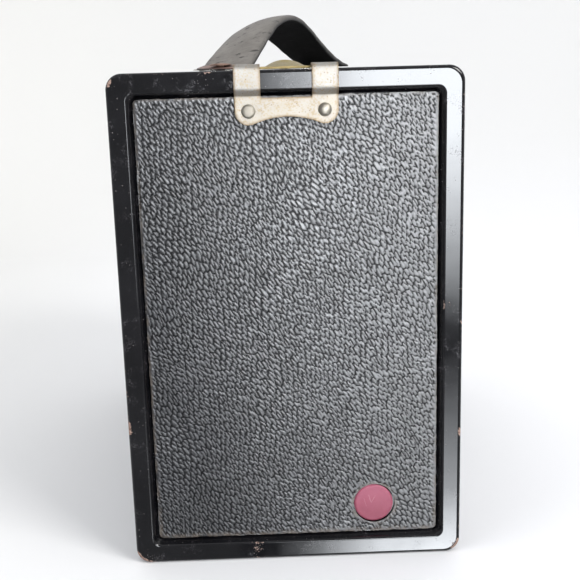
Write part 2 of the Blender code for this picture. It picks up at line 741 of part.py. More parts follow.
def build_spools():
    low, high = MID_Z - SPOOL_OFFSET, MID_Z + SPOOL_OFFSET
    add_part("supply_pin_left", spool_pin(-1, low), nickel())
    add_part("supply_pin_right", spool_pin(1, low), nickel())
    add_part("takeup_pin_left", spool_pin(-1, high), nickel())
    deep = SPOOL_HALF - SPOOL_SOCKET - 1.2
    cheek = SPOOL_HALF - 0.7
    half = [(SPOOL_BORE, deep), (SPOOL_BORE, SPOOL_HALF), (SPOOL_R, SPOOL_HALF), (SPOOL_R, cheek)]
    half += [(SPOOL_CORE_R, cheek)]
    profile = half + [(radius, -x) for radius, x in reversed(half)]
    for name, z in (("supply_spool", low), ("takeup_spool", high)):
        spool = pivot_at(name + "_pivot", (0, SPOOL_Y, z))
        add_part(name, turned("x", (SPOOL_Y, z), profile), wood(), spool)


def build_tension_springs():
    """A leaf spring bowed against each spool so that the film stays tight."""
    for name, sign in (("supply_tension_spring", -1), ("takeup_tension_spring", 1)):
        wall = MID_Z + sign * (INNER_Z - 1.2)
        outline = []
        steps = 8
        for level in (0.0, 0.4):
            row = []
            for step in range(steps + 1):
                share = step / steps
                bow = 1.6 * math.sin(math.pi * share)
                row.append((SPOOL_Y + 15.0 * (share - 0.5), wall - sign * (bow + level)))
            outline += row if level == 0.0 else row[::-1]
        add_part(name, prism("x", outline, -6.0, 6.0), sheet_steel())


def build_rollers():
    y = FILM_Y + ROLLER_R
    inner = PLATE_X - 0.6
    outer = PLATE_X + PLATE_SHEET + 0.4
    half = [(ROLLER_STUB_R, outer), (ROLLER_STUB_R, inner), (ROLLER_R, inner)]
    profile = half + [(radius, -x) for radius, x in reversed(half)]
    for name, sign in (("lower_roller", -1), ("upper_roller", 1)):
        z = MID_Z + sign * ROLLER_OFFSET
        roller = pivot_at(name + "_pivot", (0, y, z))
        add_part(name, turned("x", (y, z), profile, segments=SMALL_SEGMENTS), nickel(), roller)


# ---------------------------------------------------------------- winding key


def build_key():
    """The key pulls out along X and turns about X. Its washer only pulls out."""
    side = WIDTH / 2
    centre = KEY_AXIS[1:]
    bore = SPOOL_PIN_R + GAP
    profile = [(bore, side - 3.0), (KEY_TUBE_R, side - 3.0), (KEY_TUBE_R, side + GAP), (7.0, side + GAP)]
    profile += [(6.6, side + 1.1), (bore, side + 1.1)]
    add_part("key_escutcheon", turned("x", centre, profile, ring=True), nickel())
    slide = pivot_at("key_slide_axis", KEY_AXIS)
    start = side + 1.1 + GAP
    add_part("key_washer", washer("x", centre, 4.6, bore, start, start + 0.6), nickel(), slide)
    pivot = pivot_at("key_pivot", KEY_AXIS, slide)
    hub = start + 0.6 + GAP
    profile = [(SPOOL_PIN_R, SPOOL_HALF - 0.2), (SPOOL_PIN_R, hub), (3.0, hub), (3.0, hub + 1.6), (2.0, hub + 2.6)]
    key = add_part("winding_key", turned("x", centre, profile, segments=SMALL_SEGMENTS), nickel(), pivot)
    tongue = box(
        (SPOOL_HALF - SPOOL_SOCKET, centre[0] - 1.8, centre[1] - 0.6),
        (SPOOL_HALF, centre[0] + 1.8, centre[1] + 0.6),
    )
    wing_x = hub + KEY_WING_R
    wing = rod("y", (wing_x, centre[1]), KEY_WING_R - 0.6, centre[0] - 0.7, centre[0] + 0.7)
    for sign in (-1, 1):
        lobe_centre = (wing_x + 0.4, centre[1] + sign * KEY_WING_R)
        lobe = rod("y", lobe_centre, KEY_WING_R - 0.8, centre[0] - 0.7, centre[0] + 0.7)
        join(key, helper("key_wing_lobe", lobe))
    join(key, helper("key_wing", wing), helper("key_tongue", tongue))


# ---------------------------------------------------------------- lens, shutter and stops


def build_lens():
    """The board across the camera, with the lens in its cell behind it."""
    centre = (0, MID_Z)
    outline = rounded_rectangle(INNER_X - 0.7, INNER_Z - 0.7, 1.0, centre, segments=2)
    board = add_part("shutter_board", prism("y", outline, BOARD_Y, BOARD_Y + BOARD_THICK), wood())
    through = (BOARD_Y - 2, BOARD_Y + 4)
    cut(board, helper("board_hole", rod("y", centre, LENS_R + 0.2, *through)))
    margin = FINDER_HALF + 1.0
    top_notch = box(
        (TOP_FINDER_X - margin, through[0], TOP_FINDER_Z - margin), (TOP_FINDER_X + margin, through[1], HEIGHT)
    )
    side_notch = box(
        (SIDE_FINDER_X - margin, through[0], SIDE_FINDER_Z - margin), (WIDTH, through[1], SIDE_FINDER_Z + margin)
    )
    cut(board, helper("top_finder_notch", top_notch), helper("side_finder_notch", side_notch))

    bore = LENS_R + GAP
    flange = BOARD_Y - GAP
    profile = [(bore, flange), (bore, flange - CELL_DEPTH), (bore + 2.6, flange - CELL_DEPTH)]
    profile += [(bore + 2.6, flange - 1.0), (bore + 6.0, flange - 1.0), (bore + 6.0, flange)]
    add_part("lens_cell", turned("y", centre, profile, ring=True), nickel())
    back = flange - 2.6
    rim = 1.2
    bulge = 0.9
    profile = [(LENS_R, back), (LENS_R, back + rim)]
    profile += [(LENS_R * share, back + rim + bulge * (1 - share**2)) for share in (0.75, 0.5, 0.25)]
    add_part("lens", turned("y", centre, profile), glass())
    ring = washer("y", centre, LENS_R, LENS_R - 1.2, back - GAP - 1.0, back - GAP)
    add_part("lens_retaining_ring", ring, nickel())


def build_shutter_plates():
    centre = (0, MID_Z)
    outline = rounded_rectangle(20.0, 30.5, 2.0, centre, segments=2)
    for name, y, radius in (
        ("shutter_base_plate", BASE_PLATE_Y, LENS_R + 0.6),
        ("shutter_cover_plate", COVER_PLATE_Y, LENS_R + 1.2),
    ):
        piece = add_part(name, prism("y", outline, y, y + PLATE_THICK), black_metal())
        cut(piece, helper(name + "_hole", rod("y", centre, radius, y - 3, y + 3)))


def sector(centre, inner, outer, start, end, steps):
    """Outline of a ring sector. Angles in radians, from straight up towards the left."""

    def point(radius, angle):
        return (centre[0] - radius * math.sin(angle), centre[1] + radius * math.cos(angle))

    angles = [start + (end - start) * i / steps for i in range(steps + 1)]
    return [point(outer, a) for a in angles] + [point(inner, a) for a in reversed(angles)]


def build_shutter_disc():
    """A sector that hides the lens at rest and carries a slot past it when it swings."""
    centre = (0.0, DISC_PIVOT_Z)
    front = DISC_Y + DISC_THICK
    pivot = pivot_at("shutter_disc_pivot", (0, DISC_Y, DISC_PIVOT_Z))
    outline = sector(centre, 4.6, DISC_R, DISC_REST - DISC_SPREAD, DISC_REST + DISC_SPREAD, 14)
    disc = add_part("shutter_disc", prism("y", outline, DISC_Y, front), black_metal(), pivot)
    join(disc, helper("disc_hub", washer("y", centre, 5.0, 2.1, DISC_Y, front)))
    slot = sector(centre, 14.0, DISC_R - 1.2, DISC_REST - DISC_SLOT_HALF, DISC_REST + DISC_SLOT_HALF, 5)
    cut(disc, helper("disc_slot", prism("y", slot, DISC_Y - 1, front + 1)))
    plate = BASE_PLATE_Y + PLATE_THICK + GAP
    pin = [(1.8, plate), (1.8, front + GAP), (3.2, front + GAP), (3.2, front + 0.7)]
    add_part("disc_pivot_pin", turned("y", centre, pin, segments=SMALL_SEGMENTS), nickel())


def build_lever():
    """The release lever: a flat arm on a pin, with a finger tab outside the camera's side."""
    x, z = LEVER_PIVOT
    front = LEVER_Y + LEVER_THICK
    pivot = pivot_at("lever_pivot", (x, LEVER_Y, z))
    turn = Matrix.Rotation(-LEVER_REST, 4, "Y")
    origin = Vector((x, 0, z))

    def layer(outline, y):
        return [origin + turn @ Vector((u, 0, v)) + Vector((0, y, 0)) for u, v in outline]

    upper = [(19.0, 1.6), (8.0, 2.2), (0.0, 4.0), (-9.0, 2.2)]
    arm = upper + [(u, -v) for u, v in reversed(upper)]
    lever = add_part("shutter_lever", loft([layer(arm, LEVER_Y), layer(arm, front)]), nickel(), pivot)
    cut(lever, helper("lever_bore", rod("y", (x, z), 2.1, LEVER_Y - 2, front + 2, SMALL_SEGMENTS)))
    tab = [(18.3, -3.2), (19.9, -3.2), (19.9, 3.2), (18.3, 3.2)]
    join(lever, helper("lever_finger", loft([layer(tab, LEVER_Y - 2.2), layer(tab, front + 2.2)])))
    board = BOARD_Y + BOARD_THICK + GAP
    pin = [(1.8, board), (1.8, front + GAP), (3.0, front + GAP), (3.0, front + 0.7)]
    add_part("lever_pivot_pin", turned("y", (x, z), pin, segments=SMALL_SEGMENTS), nickel())


def build_slides():
    """Two flat strips with pull tabs through the top: one with three stops, one for time exposures."""
    rear, front = SLIDE_Y, SLIDE_Y + SLIDE_THICK
    tab_top = HEIGHT + TAB_RISE
    left, right = APERTURE_TAB_X
    low = MID_Z - (len(APERTURE_RADII) - 1) * APERTURE_STEP - 7.0
    outline = [(-8.0, low), (8.0, low), (8.0, MID_Z + 10), (right, MID_Z + 16), (right, tab_top)]
    outline += [(left, tab_top), (left, MID_Z + 19), (-8.0, MID_Z + 9)]
    axis = pivot_at("aperture_slide_axis", (0, SLIDE_Y, MID_Z))
    slide = add_part("aperture_slide", prism("y", outline, rear, front), nickel(), axis)
    for index, radius in enumerate(APERTURE_RADII):
        stop = rod("y", (0, MID_Z - index * APERTURE_STEP), radius, rear - 2, front + 2)
        cut(slide, helper("stop", stop))
    left, right = TIME_TAB_X
    low = MID_Z + 14
    outline = [(left, low), (right, low), (right, tab_top), (left, tab_top)]
    axis = pivot_at("time_slide_axis", ((left + right) / 2, SLIDE_Y, HEIGHT))
    add_part("time_slide", prism("y", outline, rear, front), nickel(), axis)


# ---------------------------------------------------------------- finders


def slanted_plate(centre, half_wide, half_long, thick, across, out):
    """A 45 degree mirror. across runs along its hinge line, out is where it sends the view."""
    along = (out - Vector((0, 1, 0))).normalized()
    normal = (out + Vector((0, 1, 0))).normalized()
    corners = ((-1, -1), (1, -1), (1, 1), (-1, 1))
    loops = []
    for level in (-thick / 2, thick / 2):
        base = centre + normal * level
        loops.append([base + across * a * half_wide + along * b * half_long for a, b in corners])
    return loft(loops)


def finder_block(centre, half_wide, reach, across, out):
    """The wedge of wood behind a mirror."""
    back = Vector((0, -1, 0))
    base = centre + (back - out) * 0.75
    points = [(back + out) * reach, (back - out) * reach, (-back - out) * reach]
    return loft([[base + point + across * a * half_wide for point in points] for a in (-1, 1)])


def build_finder(name, x, z, across, out):
    """One reflecting finder: a front lens, a mirror on a wedge, and a ground glass in a frame."""
    half = FINDER_HALF
    centre = Vector((x, FINDER_Y, z))
    rear = FRONT_Y - RECESS - SHEET - 2.2
    lens = [(FINDER_HOLE_R + 1, rear), (FINDER_HOLE_R + 1, rear + 0.9), (3.5, rear + 1.5), (1.5, rear + 1.8)]
    add_part(f"{name}_lens", turned("y", (x, z), lens, segments=SMALL_SEGMENTS), glass())
    add_part(f"{name}_mirror", slanted_plate(centre, half, half * 1.25, 0.8, across, out), glass())
    add_part(f"{name}_block", finder_block(centre, half, half * 0.9, across, out), wood())
    if out.x:
        axis, middle, wall, surface = "x", (FINDER_Y, z), INNER_X, WIDTH / 2
    else:
        axis, middle, wall, surface = "z", (x, FINDER_Y), MID_Z + INNER_Z, HEIGHT
    screen = rounded_rectangle(half + 0.8, half + 0.8, 0.5, middle, segments=1)
    add_part(f"{name}_screen", prism(axis, screen, wall - 1.3, wall - GAP), glass())

    def square(size, radius, n):
        return loop_at(axis, rounded_rectangle(size, size, radius, middle, segments=2), n)

    loops = [square(half - 0.9, 0.8, surface - 1.6), square(half - GAP, 1.0, surface - 1.6)]
    loops += [square(half - GAP, 1.0, surface + GAP), square(half + 1.8, 2.4, surface + GAP)]
    loops += [square(half + 1.4, 2.0, surface + 0.8), square(half - 0.9, 0.8, surface + 0.8)]
    add_part(f"{name}_frame", loft(loops, ring=True), nickel())


# ---------------------------------------------------------------- tripod sockets


def bush_holes(name, radius):
    bottom = rod("z", (0, TRIPOD_Y), radius, -2, 5)
    side = rod("x", (TRIPOD_Y, MID_Z), radius, -WIDTH / 2 - 2, -WIDTH / 2 + 5)
    return helper(f"{name}_bottom_bush_hole", bottom), helper(f"{name}_side_bush_hole", side)


def build_tripod_bush(name, axis, centre, face):
    """A flanged socket whose mouth is at the camera's surface, at face along the axis."""
    profile = [(TRIPOD_FLANGE_R, 0.0), (TRIPOD_FLANGE_R, SHEET), (TRIPOD_BODY_R, SHEET)]
    profile += [(TRIPOD_BODY_R, TRIPOD_DEPTH + 1.0)]
    placed = [(radius, face + n) for radius, n in profile]
    bush = add_part(name, turned(axis, centre, placed), nickel())
    cut(bush, helper(name + "_bore", rod(axis, centre, TRIPOD_BORE, face - 2, face + TRIPOD_DEPTH)))


def main():
    clear_scene()
    build_body()
    build_front()
    build_hinge()
    build_latch(build_door())
    build_handle()
    build_carrier()
    build_spools()
    build_tension_springs()
    build_rollers()
    build_key()
    build_lens()
    build_shutter_plates()
    build_shutter_disc()
    build_lever()
    build_slides()
    build_finder("top_finder", TOP_FINDER_X, TOP_FINDER_Z, Vector((1, 0, 0)), Vector((0, 0, 1)))
    build_finder("side_finder", SIDE_FINDER_X, SIDE_FINDER_Z, Vector((0, 0, 1)), Vector((1, 0, 0)))
    build_tripod_bush("tripod_bush_bottom", "z", (0, TRIPOD_Y), 0.0)
    build_tripod_bush("tripod_bush_side", "x", (TRIPOD_Y, MID_Z), -WIDTH / 2)


main()
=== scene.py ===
"""The looks of an old roll-film box camera: black enamel, leatherette, brass and a leather strap."""

import math

import bmesh
import bpy
import numpy as np
from mathutils import Matrix, Vector
from mathutils.geometry import delaunay_2d_cdt
from mathutils.kdtree import KDTree


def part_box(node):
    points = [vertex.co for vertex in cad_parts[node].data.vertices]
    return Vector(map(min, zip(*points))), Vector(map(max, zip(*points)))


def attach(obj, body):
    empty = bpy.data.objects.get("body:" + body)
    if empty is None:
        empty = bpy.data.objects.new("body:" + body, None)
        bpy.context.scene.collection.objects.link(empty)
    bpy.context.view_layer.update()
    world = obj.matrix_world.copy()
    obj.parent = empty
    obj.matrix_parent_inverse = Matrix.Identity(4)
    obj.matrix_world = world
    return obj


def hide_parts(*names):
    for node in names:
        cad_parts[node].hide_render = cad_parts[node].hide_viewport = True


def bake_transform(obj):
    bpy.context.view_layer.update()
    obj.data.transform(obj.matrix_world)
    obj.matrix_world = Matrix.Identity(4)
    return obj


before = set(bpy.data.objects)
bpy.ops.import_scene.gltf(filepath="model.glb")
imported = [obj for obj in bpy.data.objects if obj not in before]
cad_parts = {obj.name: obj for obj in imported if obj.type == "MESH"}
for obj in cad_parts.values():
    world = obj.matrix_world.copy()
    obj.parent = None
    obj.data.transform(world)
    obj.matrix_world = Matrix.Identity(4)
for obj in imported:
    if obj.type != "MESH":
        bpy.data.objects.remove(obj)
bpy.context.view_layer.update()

MM = 0.001


def box_mm(node):
    low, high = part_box(node)
    return low / MM, high / MM


def centre_mm(node, *axes):
    """The middle of a node's box, along some of its axes."""
    low, high = box_mm(node)
    return tuple((low[axis] + high[axis]) / 2 for axis in axes)


def radius_mm(node, axis=0):
    low, high = box_mm(node)
    return (high[axis] - low[axis]) / 2


# ---- sizes, in millimetres

DOOR_LOW, DOOR_HIGH = box_mm("back_door")
REAR_Y = DOOR_LOW.y
FRONT_Y = box_mm("front_frame")[1].y
HALF_X = DOOR_HIGH.x
HEIGHT = DOOR_HIGH.z
MID_Z = HEIGHT / 2
COVER_END = box_mm("body_covering")[1].y
GAP = 0.3

WINDOW = centre_mm("red_window", 0, 2)
WINDOW_R = radius_mm("red_window")

# pressed trays: the door and the front
SHEET = 0.7
CORNER = 3.9
CORNER_TAPER = 0.4
CORNER_PARTS = 12
SIDE_PARTS = 24
SKIRT = 8.0
EDGE_ROUND = 0.9
SLOPE_START = 4.5
SLOPE_END = 6.1
RECESS = 2.3
LEATHER = 0.5
PANEL_ROOM = 0.12
GRAIN_DEPTH = 0.3
GRAIN_LEAN = math.radians(-57)
RIDGE_SIZE, RIDGE_STRETCH = 0.8, 2.9
BEAD_SIZE, BEAD_STRETCH = 0.74, 1.4

# how far apart the leather's points are, in millimetres
DOOR_STEP = 0.25
FRONT_STEP = 0.32
WRAP_STEP = 0.46

# ---- repeatable noise


def smooth_step(t):
    t = np.clip(t, 0.0, 1.0)
    return t * t * (3 - 2 * t)


def hashed(i, j, seed):
    """A repeatable number from 0 to 1 for each whole-numbered cell."""
    n = i.astype(np.int64) * 73856093 ^ j.astype(np.int64) * 19349663 ^ seed * 83492791
    n = (n ^ (n >> 13)) * 1274126177
    n = n ^ (n >> 16)
    return (n & 0xFFFFFF) / 0xFFFFFF


def soft_noise(u, v, size, seed):
    """Smooth noise from -1 to 1 whose blobs are about size across."""
    u, v = np.asarray(u) / size, np.asarray(v) / size
    i, j = np.floor(u), np.floor(v)
    a, b = smooth_step(u - i), smooth_step(v - j)
    near = hashed(i, j, seed) * (1 - a) + hashed(i + 1, j, seed) * a
    far = hashed(i, j + 1, seed) * (1 - a) + hashed(i + 1, j + 1, seed) * a
    return (near * (1 - b) + far * b) * 2 - 1


def pebbles(u, v, size, stretch, seed):
    """Leather grain: 0 in the creases and 1 on the pebbles, which are stretched along GRAIN_LEAN."""
    along = (u * math.cos(GRAIN_LEAN) + v * math.sin(GRAIN_LEAN)) / (size * stretch)
    across = (v * math.cos(GRAIN_LEAN) - u * math.sin(GRAIN_LEAN)) / size
    i, j = np.floor(along), np.floor(across)
    first = np.full(np.shape(u), 9.0)
    second = np.full(np.shape(u), 9.0)
    level = np.zeros(np.shape(u))
    for di in (-1, 0, 1):
        for dj in (-1, 0, 1):
            ci, cj = i + di, j + dj
            pa = ci + 0.25 + 0.5 * (cj % 2) + 0.6 * (hashed(ci, cj, seed) - 0.5)
            pb = cj + 0.5 + 0.7 * (hashed(ci, cj, seed + 1) - 0.5)
            far = np.hypot(along - pa, across - pb)
            nearer = far < first
            second = np.where(nearer, first, np.minimum(second, far))
            level = np.where(nearer, hashed(ci, cj, seed + 2), level)
            first = np.where(nearer, far, first)
    groove = smooth_step((second - first) / 0.3)
    dome = np.clip(1 - 1.5 * first**2, 0, 1)
    return groove * (0.42 + 0.46 * dome + 0.12 * level)


def leather_grain(u, v, seed):
    """The height of the leatherette's pressed grain, from 0 to 1."""
    wu = u + 1.3 * soft_noise(u, v, 12, seed + 20) + 0.14 * soft_noise(u, v, 2.6, seed + 21)
    wv = v + 1.3 * soft_noise(u, v, 12, seed + 22) + 0.14 * soft_noise(u, v, 2.6, seed + 23)
    level = 0.5 + 0.5 * soft_noise(u, v, 3.2, seed + 25)
    ridges = pebbles(wu, wv, RIDGE_SIZE, RIDGE_STRETCH, seed)
    beads = pebbles(wu, wv, BEAD_SIZE, BEAD_STRETCH, seed + 5)
    return ridges * (0.74 + 0.26 * beads) * (0.85 + 0.15 * level)


# ---- building meshes


def linked(name, data=None):
    """A new object in the scene."""
    obj = bpy.data.objects.new(name, data)
    bpy.context.scene.collection.objects.link(obj)
    return obj


def piece_from(name, points, faces):
    """An object from points in millimetres, with its faces turned outwards."""
    mesh = bpy.data.meshes.new(name)
    mesh.from_pydata((np.asarray(points, float) * MM).tolist(), [], faces)
    bm = bmesh.new()
    bm.from_mesh(mesh)
    bmesh.ops.recalc_face_normals(bm, faces=bm.faces)
    bm.to_mesh(mesh)
    bm.free()
    return linked(name, mesh)


def smooth(obj, sharp=35):
    obj.data.shade_smooth()
    obj.data.set_sharp_from_angle(angle=math.radians(sharp))


def note(obj, name, values):
    """Stores one number for each point, for the material to read."""
    attribute = obj.data.attributes.new(name, "FLOAT", "POINT")
    attribute.data.foreach_set("value", np.asarray(values, np.float32))


def settle(obj, sharp=35):
    """Applies an object's modifiers and smooths what is left."""
    graph = bpy.context.evaluated_depsgraph_get()
    made = bpy.data.meshes.new_from_object(
        obj.evaluated_get(graph), preserve_all_data_layers=True, depsgraph=graph
    )
    obj.modifiers.clear()
    obj.data = made
    smooth(obj, sharp)


def bevel(obj, width, angle=35):
    modifier = obj.modifiers.new("Bevel", "BEVEL")
    modifier.width = width * MM
    modifier.segments = 2
    modifier.limit_method = "ANGLE"
    modifier.angle_limit = math.radians(angle)


def combine(obj, operation, others):
    """Adds or cuts other closed bodies, which are used up."""
    for other in others:
        modifier = obj.modifiers.new(operation, "BOOLEAN")
        modifier.operation = operation
        modifier.object = other
    settle(obj)
    for other in others:
        bpy.data.objects.remove(other)


def finish_piece(obj, material, slot, body, *stands_for):
    """Gives a piece its material, and fixes it to the body it moves with. slot is not used."""
    obj.data.materials.clear()
    obj.data.materials.append(material)
    if body:
        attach(obj, body)
    if stands_for:
        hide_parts(*stands_for)
    return obj


def rounded_rectangle(half_u, half_v, radius, centre, segments, step=None):
    """Points round a rectangle with round corners; step also divides the straight sides."""
    points = []
    for corner, (su, sv) in enumerate(((1, 1), (-1, 1), (-1, -1), (1, -1))):
        for part in range(segments + 1):
            angle = math.radians(90 * (corner + part / segments))
            u = centre[0] + su * (half_u - radius) + radius * math.cos(angle)
            v = centre[1] + sv * (half_v - radius) + radius * math.sin(angle)
            points.append((u, v))
    return np.array(points) if step is None else divided(points, step)


def divided(loop, step):
    """A closed loop with no two neighbours further apart than step."""
    loop = np.asarray(loop, float)
    points = []
    for a, b in zip(loop, np.roll(loop, -1, 0)):
        parts = max(1, math.ceil(np.linalg.norm(b - a) / step))
        points += [a + (b - a) * part / parts for part in range(parts)]
    return np.array(points)


def circle(centre, radius, step=0.3):
    count = max(16, math.ceil(2 * math.pi * radius / step))
    turn = np.arange(count) * 2 * math.pi / count
    return np.stack([centre[0] + radius * np.cos(turn), centre[1] + radius * np.sin(turn)], 1)


def inside(points, loop):
    """Which points lie inside a closed loop."""
    found = []
    au, av = loop[:, 0], loop[:, 1]
    bu, bv = np.roll(au, -1), np.roll(av, -1)
    rise = np.where(bv == av, 1e-9, bv - av)
    for start in range(0, len(points), 4000):
        u, v = points[start : start + 4000, 0, None], points[start : start + 4000, 1, None]
        crossed = ((av > v) != (bv > v)) & (u < au + (v - av) * (bu - au) / rise)
        found.append(crossed.sum(1) % 2 == 1)
    return np.concatenate(found) if found else np.zeros(0, bool)


def covered(points, loops):
    """Which points lie inside the first loop and outside the others."""
    found = inside(points, loops[0])
    for hole in loops[1:]:
        found &= ~inside(points, hole)
    return found


def distances(points, rim):
    """How far each point is from the nearest point of the rim."""
    tree = KDTree(len(rim))
    for index, point in enumerate(rim):
        tree.insert((point[0], point[1], 0), index)
    tree.balance()
    return np.array([tree.find((u, v, 0))[2] for u, v in points])


def triangulated(loops, step):
    """A flat sheet with holes as evenly spread points and triangles. The loops' points come first."""
    rim = np.concatenate(loops)
    low, high = rim.min(0), rim.max(0)
    u, v = np.meshgrid(np.arange(low[0], high[0], step), np.arange(low[1], high[1], step * 0.866))
    u[1::2] += step / 2
    grid = np.stack([u.ravel(), v.ravel()], 1)
    grid = grid[covered(grid, loops)]
    grid = grid[distances(grid, rim) > 0.45 * min(step, 1.0)]
    points = np.concatenate([rim, grid])
    edges, start = [], 0
    for loop in loops:
        edges += [(start + i, start + (i + 1) % len(loop)) for i in range(len(loop))]
        start += len(loop)
    made = delaunay_2d_cdt([Vector(p) for p in points], edges, [], 1, 1e-6, False)
    points = np.array([tuple(p) for p in made[0]])
    triangles = np.array(made[2])
    doubtful = (triangles < len(rim)).all(1)
    keep = np.ones(len(triangles), bool)
    keep[doubtful] = covered(points[triangles[doubtful]].mean(1), loops)
    return points, triangles[keep]


def slab(name, loops, step, front, back, back_step=4.0):
    """A closed sheet: a fine front face, a coarser back face, and walls that join their rims."""
    points, triangles = triangulated(loops, step)
    under, under_triangles = triangulated(loops, back_step)
    count = len(points)
    faces = triangles.tolist() + (under_triangles + count)[:, ::-1].tolist()
    start = 0
    for loop in loops:
        ring = [start + i for i in range(len(loop))]
        after = ring[1:] + ring[:1]
        faces += [(b, a, a + count, b + count) for a, b in zip(ring, after)]
        start += len(loop)
    obj = piece_from(name, np.concatenate([front(points), back(under)]), faces)
    return obj, points, len(under)


def band(a, b, size):
    """The faces between two rings whose points start at a and b."""
    return [(a + i, a + (i + 1) % size, b + (i + 1) % size, b + i) for i in range(size)]


def lofted(name, loops, ring=False):
    """A closed mesh through equal loops of points, capped at both ends or joined round into a ring."""
    size = len(loops[0])
    faces = []
    count = len(loops)
    for row in range(count if ring else count - 1):
        faces += band(row * size, (row + 1) % count * size, size)
    if not ring:
        faces += [list(range(size))[::-1], list(range((count - 1) * size, count * size))]
    return piece_from(name, np.concatenate([np.asarray(loop) for loop in loops]), faces)


PLACE = {
    "x": lambda u, v, n: np.stack([n + 0 * u, u, v], 1),
    "y": lambda u, v, n: np.stack([u, n + 0 * u, v], 1),
    "z": lambda u, v, n: np.stack([u, v, n + 0 * u], 1),
}


def turned(name, axis, centre, profile, ring=False, segments=72, edge=0.12):
    """A turned solid from (radius, position along the axis) pairs, its edges softly broken."""
    turn = np.arange(segments) * 2 * math.pi / segments
    loops = [
        PLACE[axis](centre[0] + radius * np.cos(turn), centre[1] + radius * np.sin(turn), n)
        for radius, n in profile
    ]
    obj = lofted(name, loops, ring)
    if edge:
        bevel(obj, edge)
    settle(obj)
    return obj


def fitting(name, axis, centre, profile, finish, slot, body, node, **shape):
    """A turned piece with its finish, in the place of a node and on the body it moves with."""
    finish_piece(turned(name, axis, centre, profile, **shape), finish, slot, body, node)


def prism(name, axis, outline, start, end, edge=0.0):
    outline = np.asarray(outline, float)
    obj = lofted(name, [PLACE[axis](outline[:, 0], outline[:, 1], n) for n in (start, end)])
    if edge:
        bevel(obj, edge)
        settle(obj)
    return obj


def rod(name, axis, centre, radius, start, end):
    return turned(name, axis, centre, [(radius, start), (radius, end)], segments=64, edge=0)


# ---- materials


class Nodes:
    """A node tree whose nodes are added and joined in one call each. Sizes are in millimetres."""

    def __init__(self, tree, place):
        self.tree = tree
        self.place = self.node("ShaderNodeTexCoord").outputs[place]

    def node(self, kind, inputs=None, **settings):
        made = self.tree.nodes.new(kind)
        for key, value in settings.items():
            setattr(made, key, value)
        for key, value in (inputs or {}).items():
            self.plug(made.inputs[key], value)
        return made

    def plug(self, socket, value):
        if isinstance(value, bpy.types.NodeSocket):
            self.tree.links.new(value, socket)
        else:
            socket.default_value = value

    def stored(self, name):
        return self.node("ShaderNodeAttribute", attribute_name=name).outputs["Fac"]

    def axes(self):
        """The place's X, Y and Z, in metres."""
        return self.node("ShaderNodeSeparateXYZ", {0: self.place}).outputs

    def math(self, operation, a, b=0.0, c=0.0):
        return self.node("ShaderNodeMath", {0: a, 1: b, 2: c}, operation=operation).outputs[0]

    def times(self, a, b):
        return self.math("MULTIPLY", a, b)

    def plus(self, a, b):
        return self.math("ADD", a, b)

    def minus(self, a, b):
        return self.math("SUBTRACT", a, b)

    def most(self, *values):
        """The greatest of the values."""
        most = values[0]
        for value in values[1:]:
            most = self.math("MAXIMUM", most, value)
        return most

    def stretched(self, sx, sy, sz, turn=(0, 0, 0)):
        """The place with each axis stretched, and turned first."""
        inputs = {"Vector": self.place, "Rotation": turn, "Scale": (sx, sy, sz)}
        return self.node("ShaderNodeMapping", inputs).outputs[0]

    def noise(self, size, detail=3.0, rough=0.55, place=None):
        inputs = {"Vector": place or self.place, "Scale": 1 / (size * MM)}
        inputs.update({"Detail": detail, "Roughness": rough})
        return self.node("ShaderNodeTexNoise", inputs).outputs["Fac"]

    def cells(self, size):
        return self.node("ShaderNodeTexVoronoi", {"Vector": self.place, "Scale": 1 / (size * MM)}).outputs

    def ramp(self, value, low, high, start=0.0, end=1.0):
        """value's stretch from low to high, mapped smoothly to start to end."""
        inputs = {"Value": value, "From Min": low, "From Max": high, "To Min": start, "To Max": end}
        return self.node("ShaderNodeMapRange", inputs, interpolation_type="SMOOTHSTEP").outputs["Result"]

    def mix(self, share, a, b):
        made = self.node("ShaderNodeMix", {0: share}, data_type="RGBA")
        for index, value in ((6, a), (7, b)):
            self.plug(made.inputs[index], (*value, 1.0) if isinstance(value, tuple) else value)
        return made.outputs[2]

    def lay(self, base, mask, share, colour):
        """base with a share of the colour over it where mask is 1."""
        return self.mix(self.times(mask, share), base, colour)

    def specks(self, size, share, radius):
        """Scattered round specks: about one cell in 1 / share of those size across has one."""
        found = self.cells(size)
        dot = self.ramp(found["Distance"], radius, radius * 0.5)
        chance = self.node("ShaderNodeSeparateColor", {0: found["Color"]}).outputs[0]
        return self.times(dot, self.math("LESS_THAN", chance, share))

    def scratch(self, start, end, width):
        """A fine broken line between two (x, z) points."""
        (x0, z0), (x1, z1) = start, end
        length = math.hypot(x1 - x0, z1 - z0)
        ux, uz = (x1 - x0) / length, (z1 - z0) / length
        split = self.axes()
        across = self.math("MULTIPLY_ADD", split[0], -uz / MM, uz * x0 - ux * z0)
        across = self.math("ABSOLUTE", self.math("MULTIPLY_ADD", split[2], ux / MM, across))
        along = self.math("MULTIPLY_ADD", split[0], ux / MM, -ux * x0 - uz * z0)
        along = self.math("MULTIPLY_ADD", split[2], uz / MM, along)
        middle = self.math("ABSOLUTE", self.minus(along, length / 2))
        line = self.times(self.ramp(across, width, 0.0), self.ramp(middle, length / 2, length * 0.4))
        return self.times(line, self.ramp(self.noise(0.4), 0.4, 0.5, 0.4, 1.0))


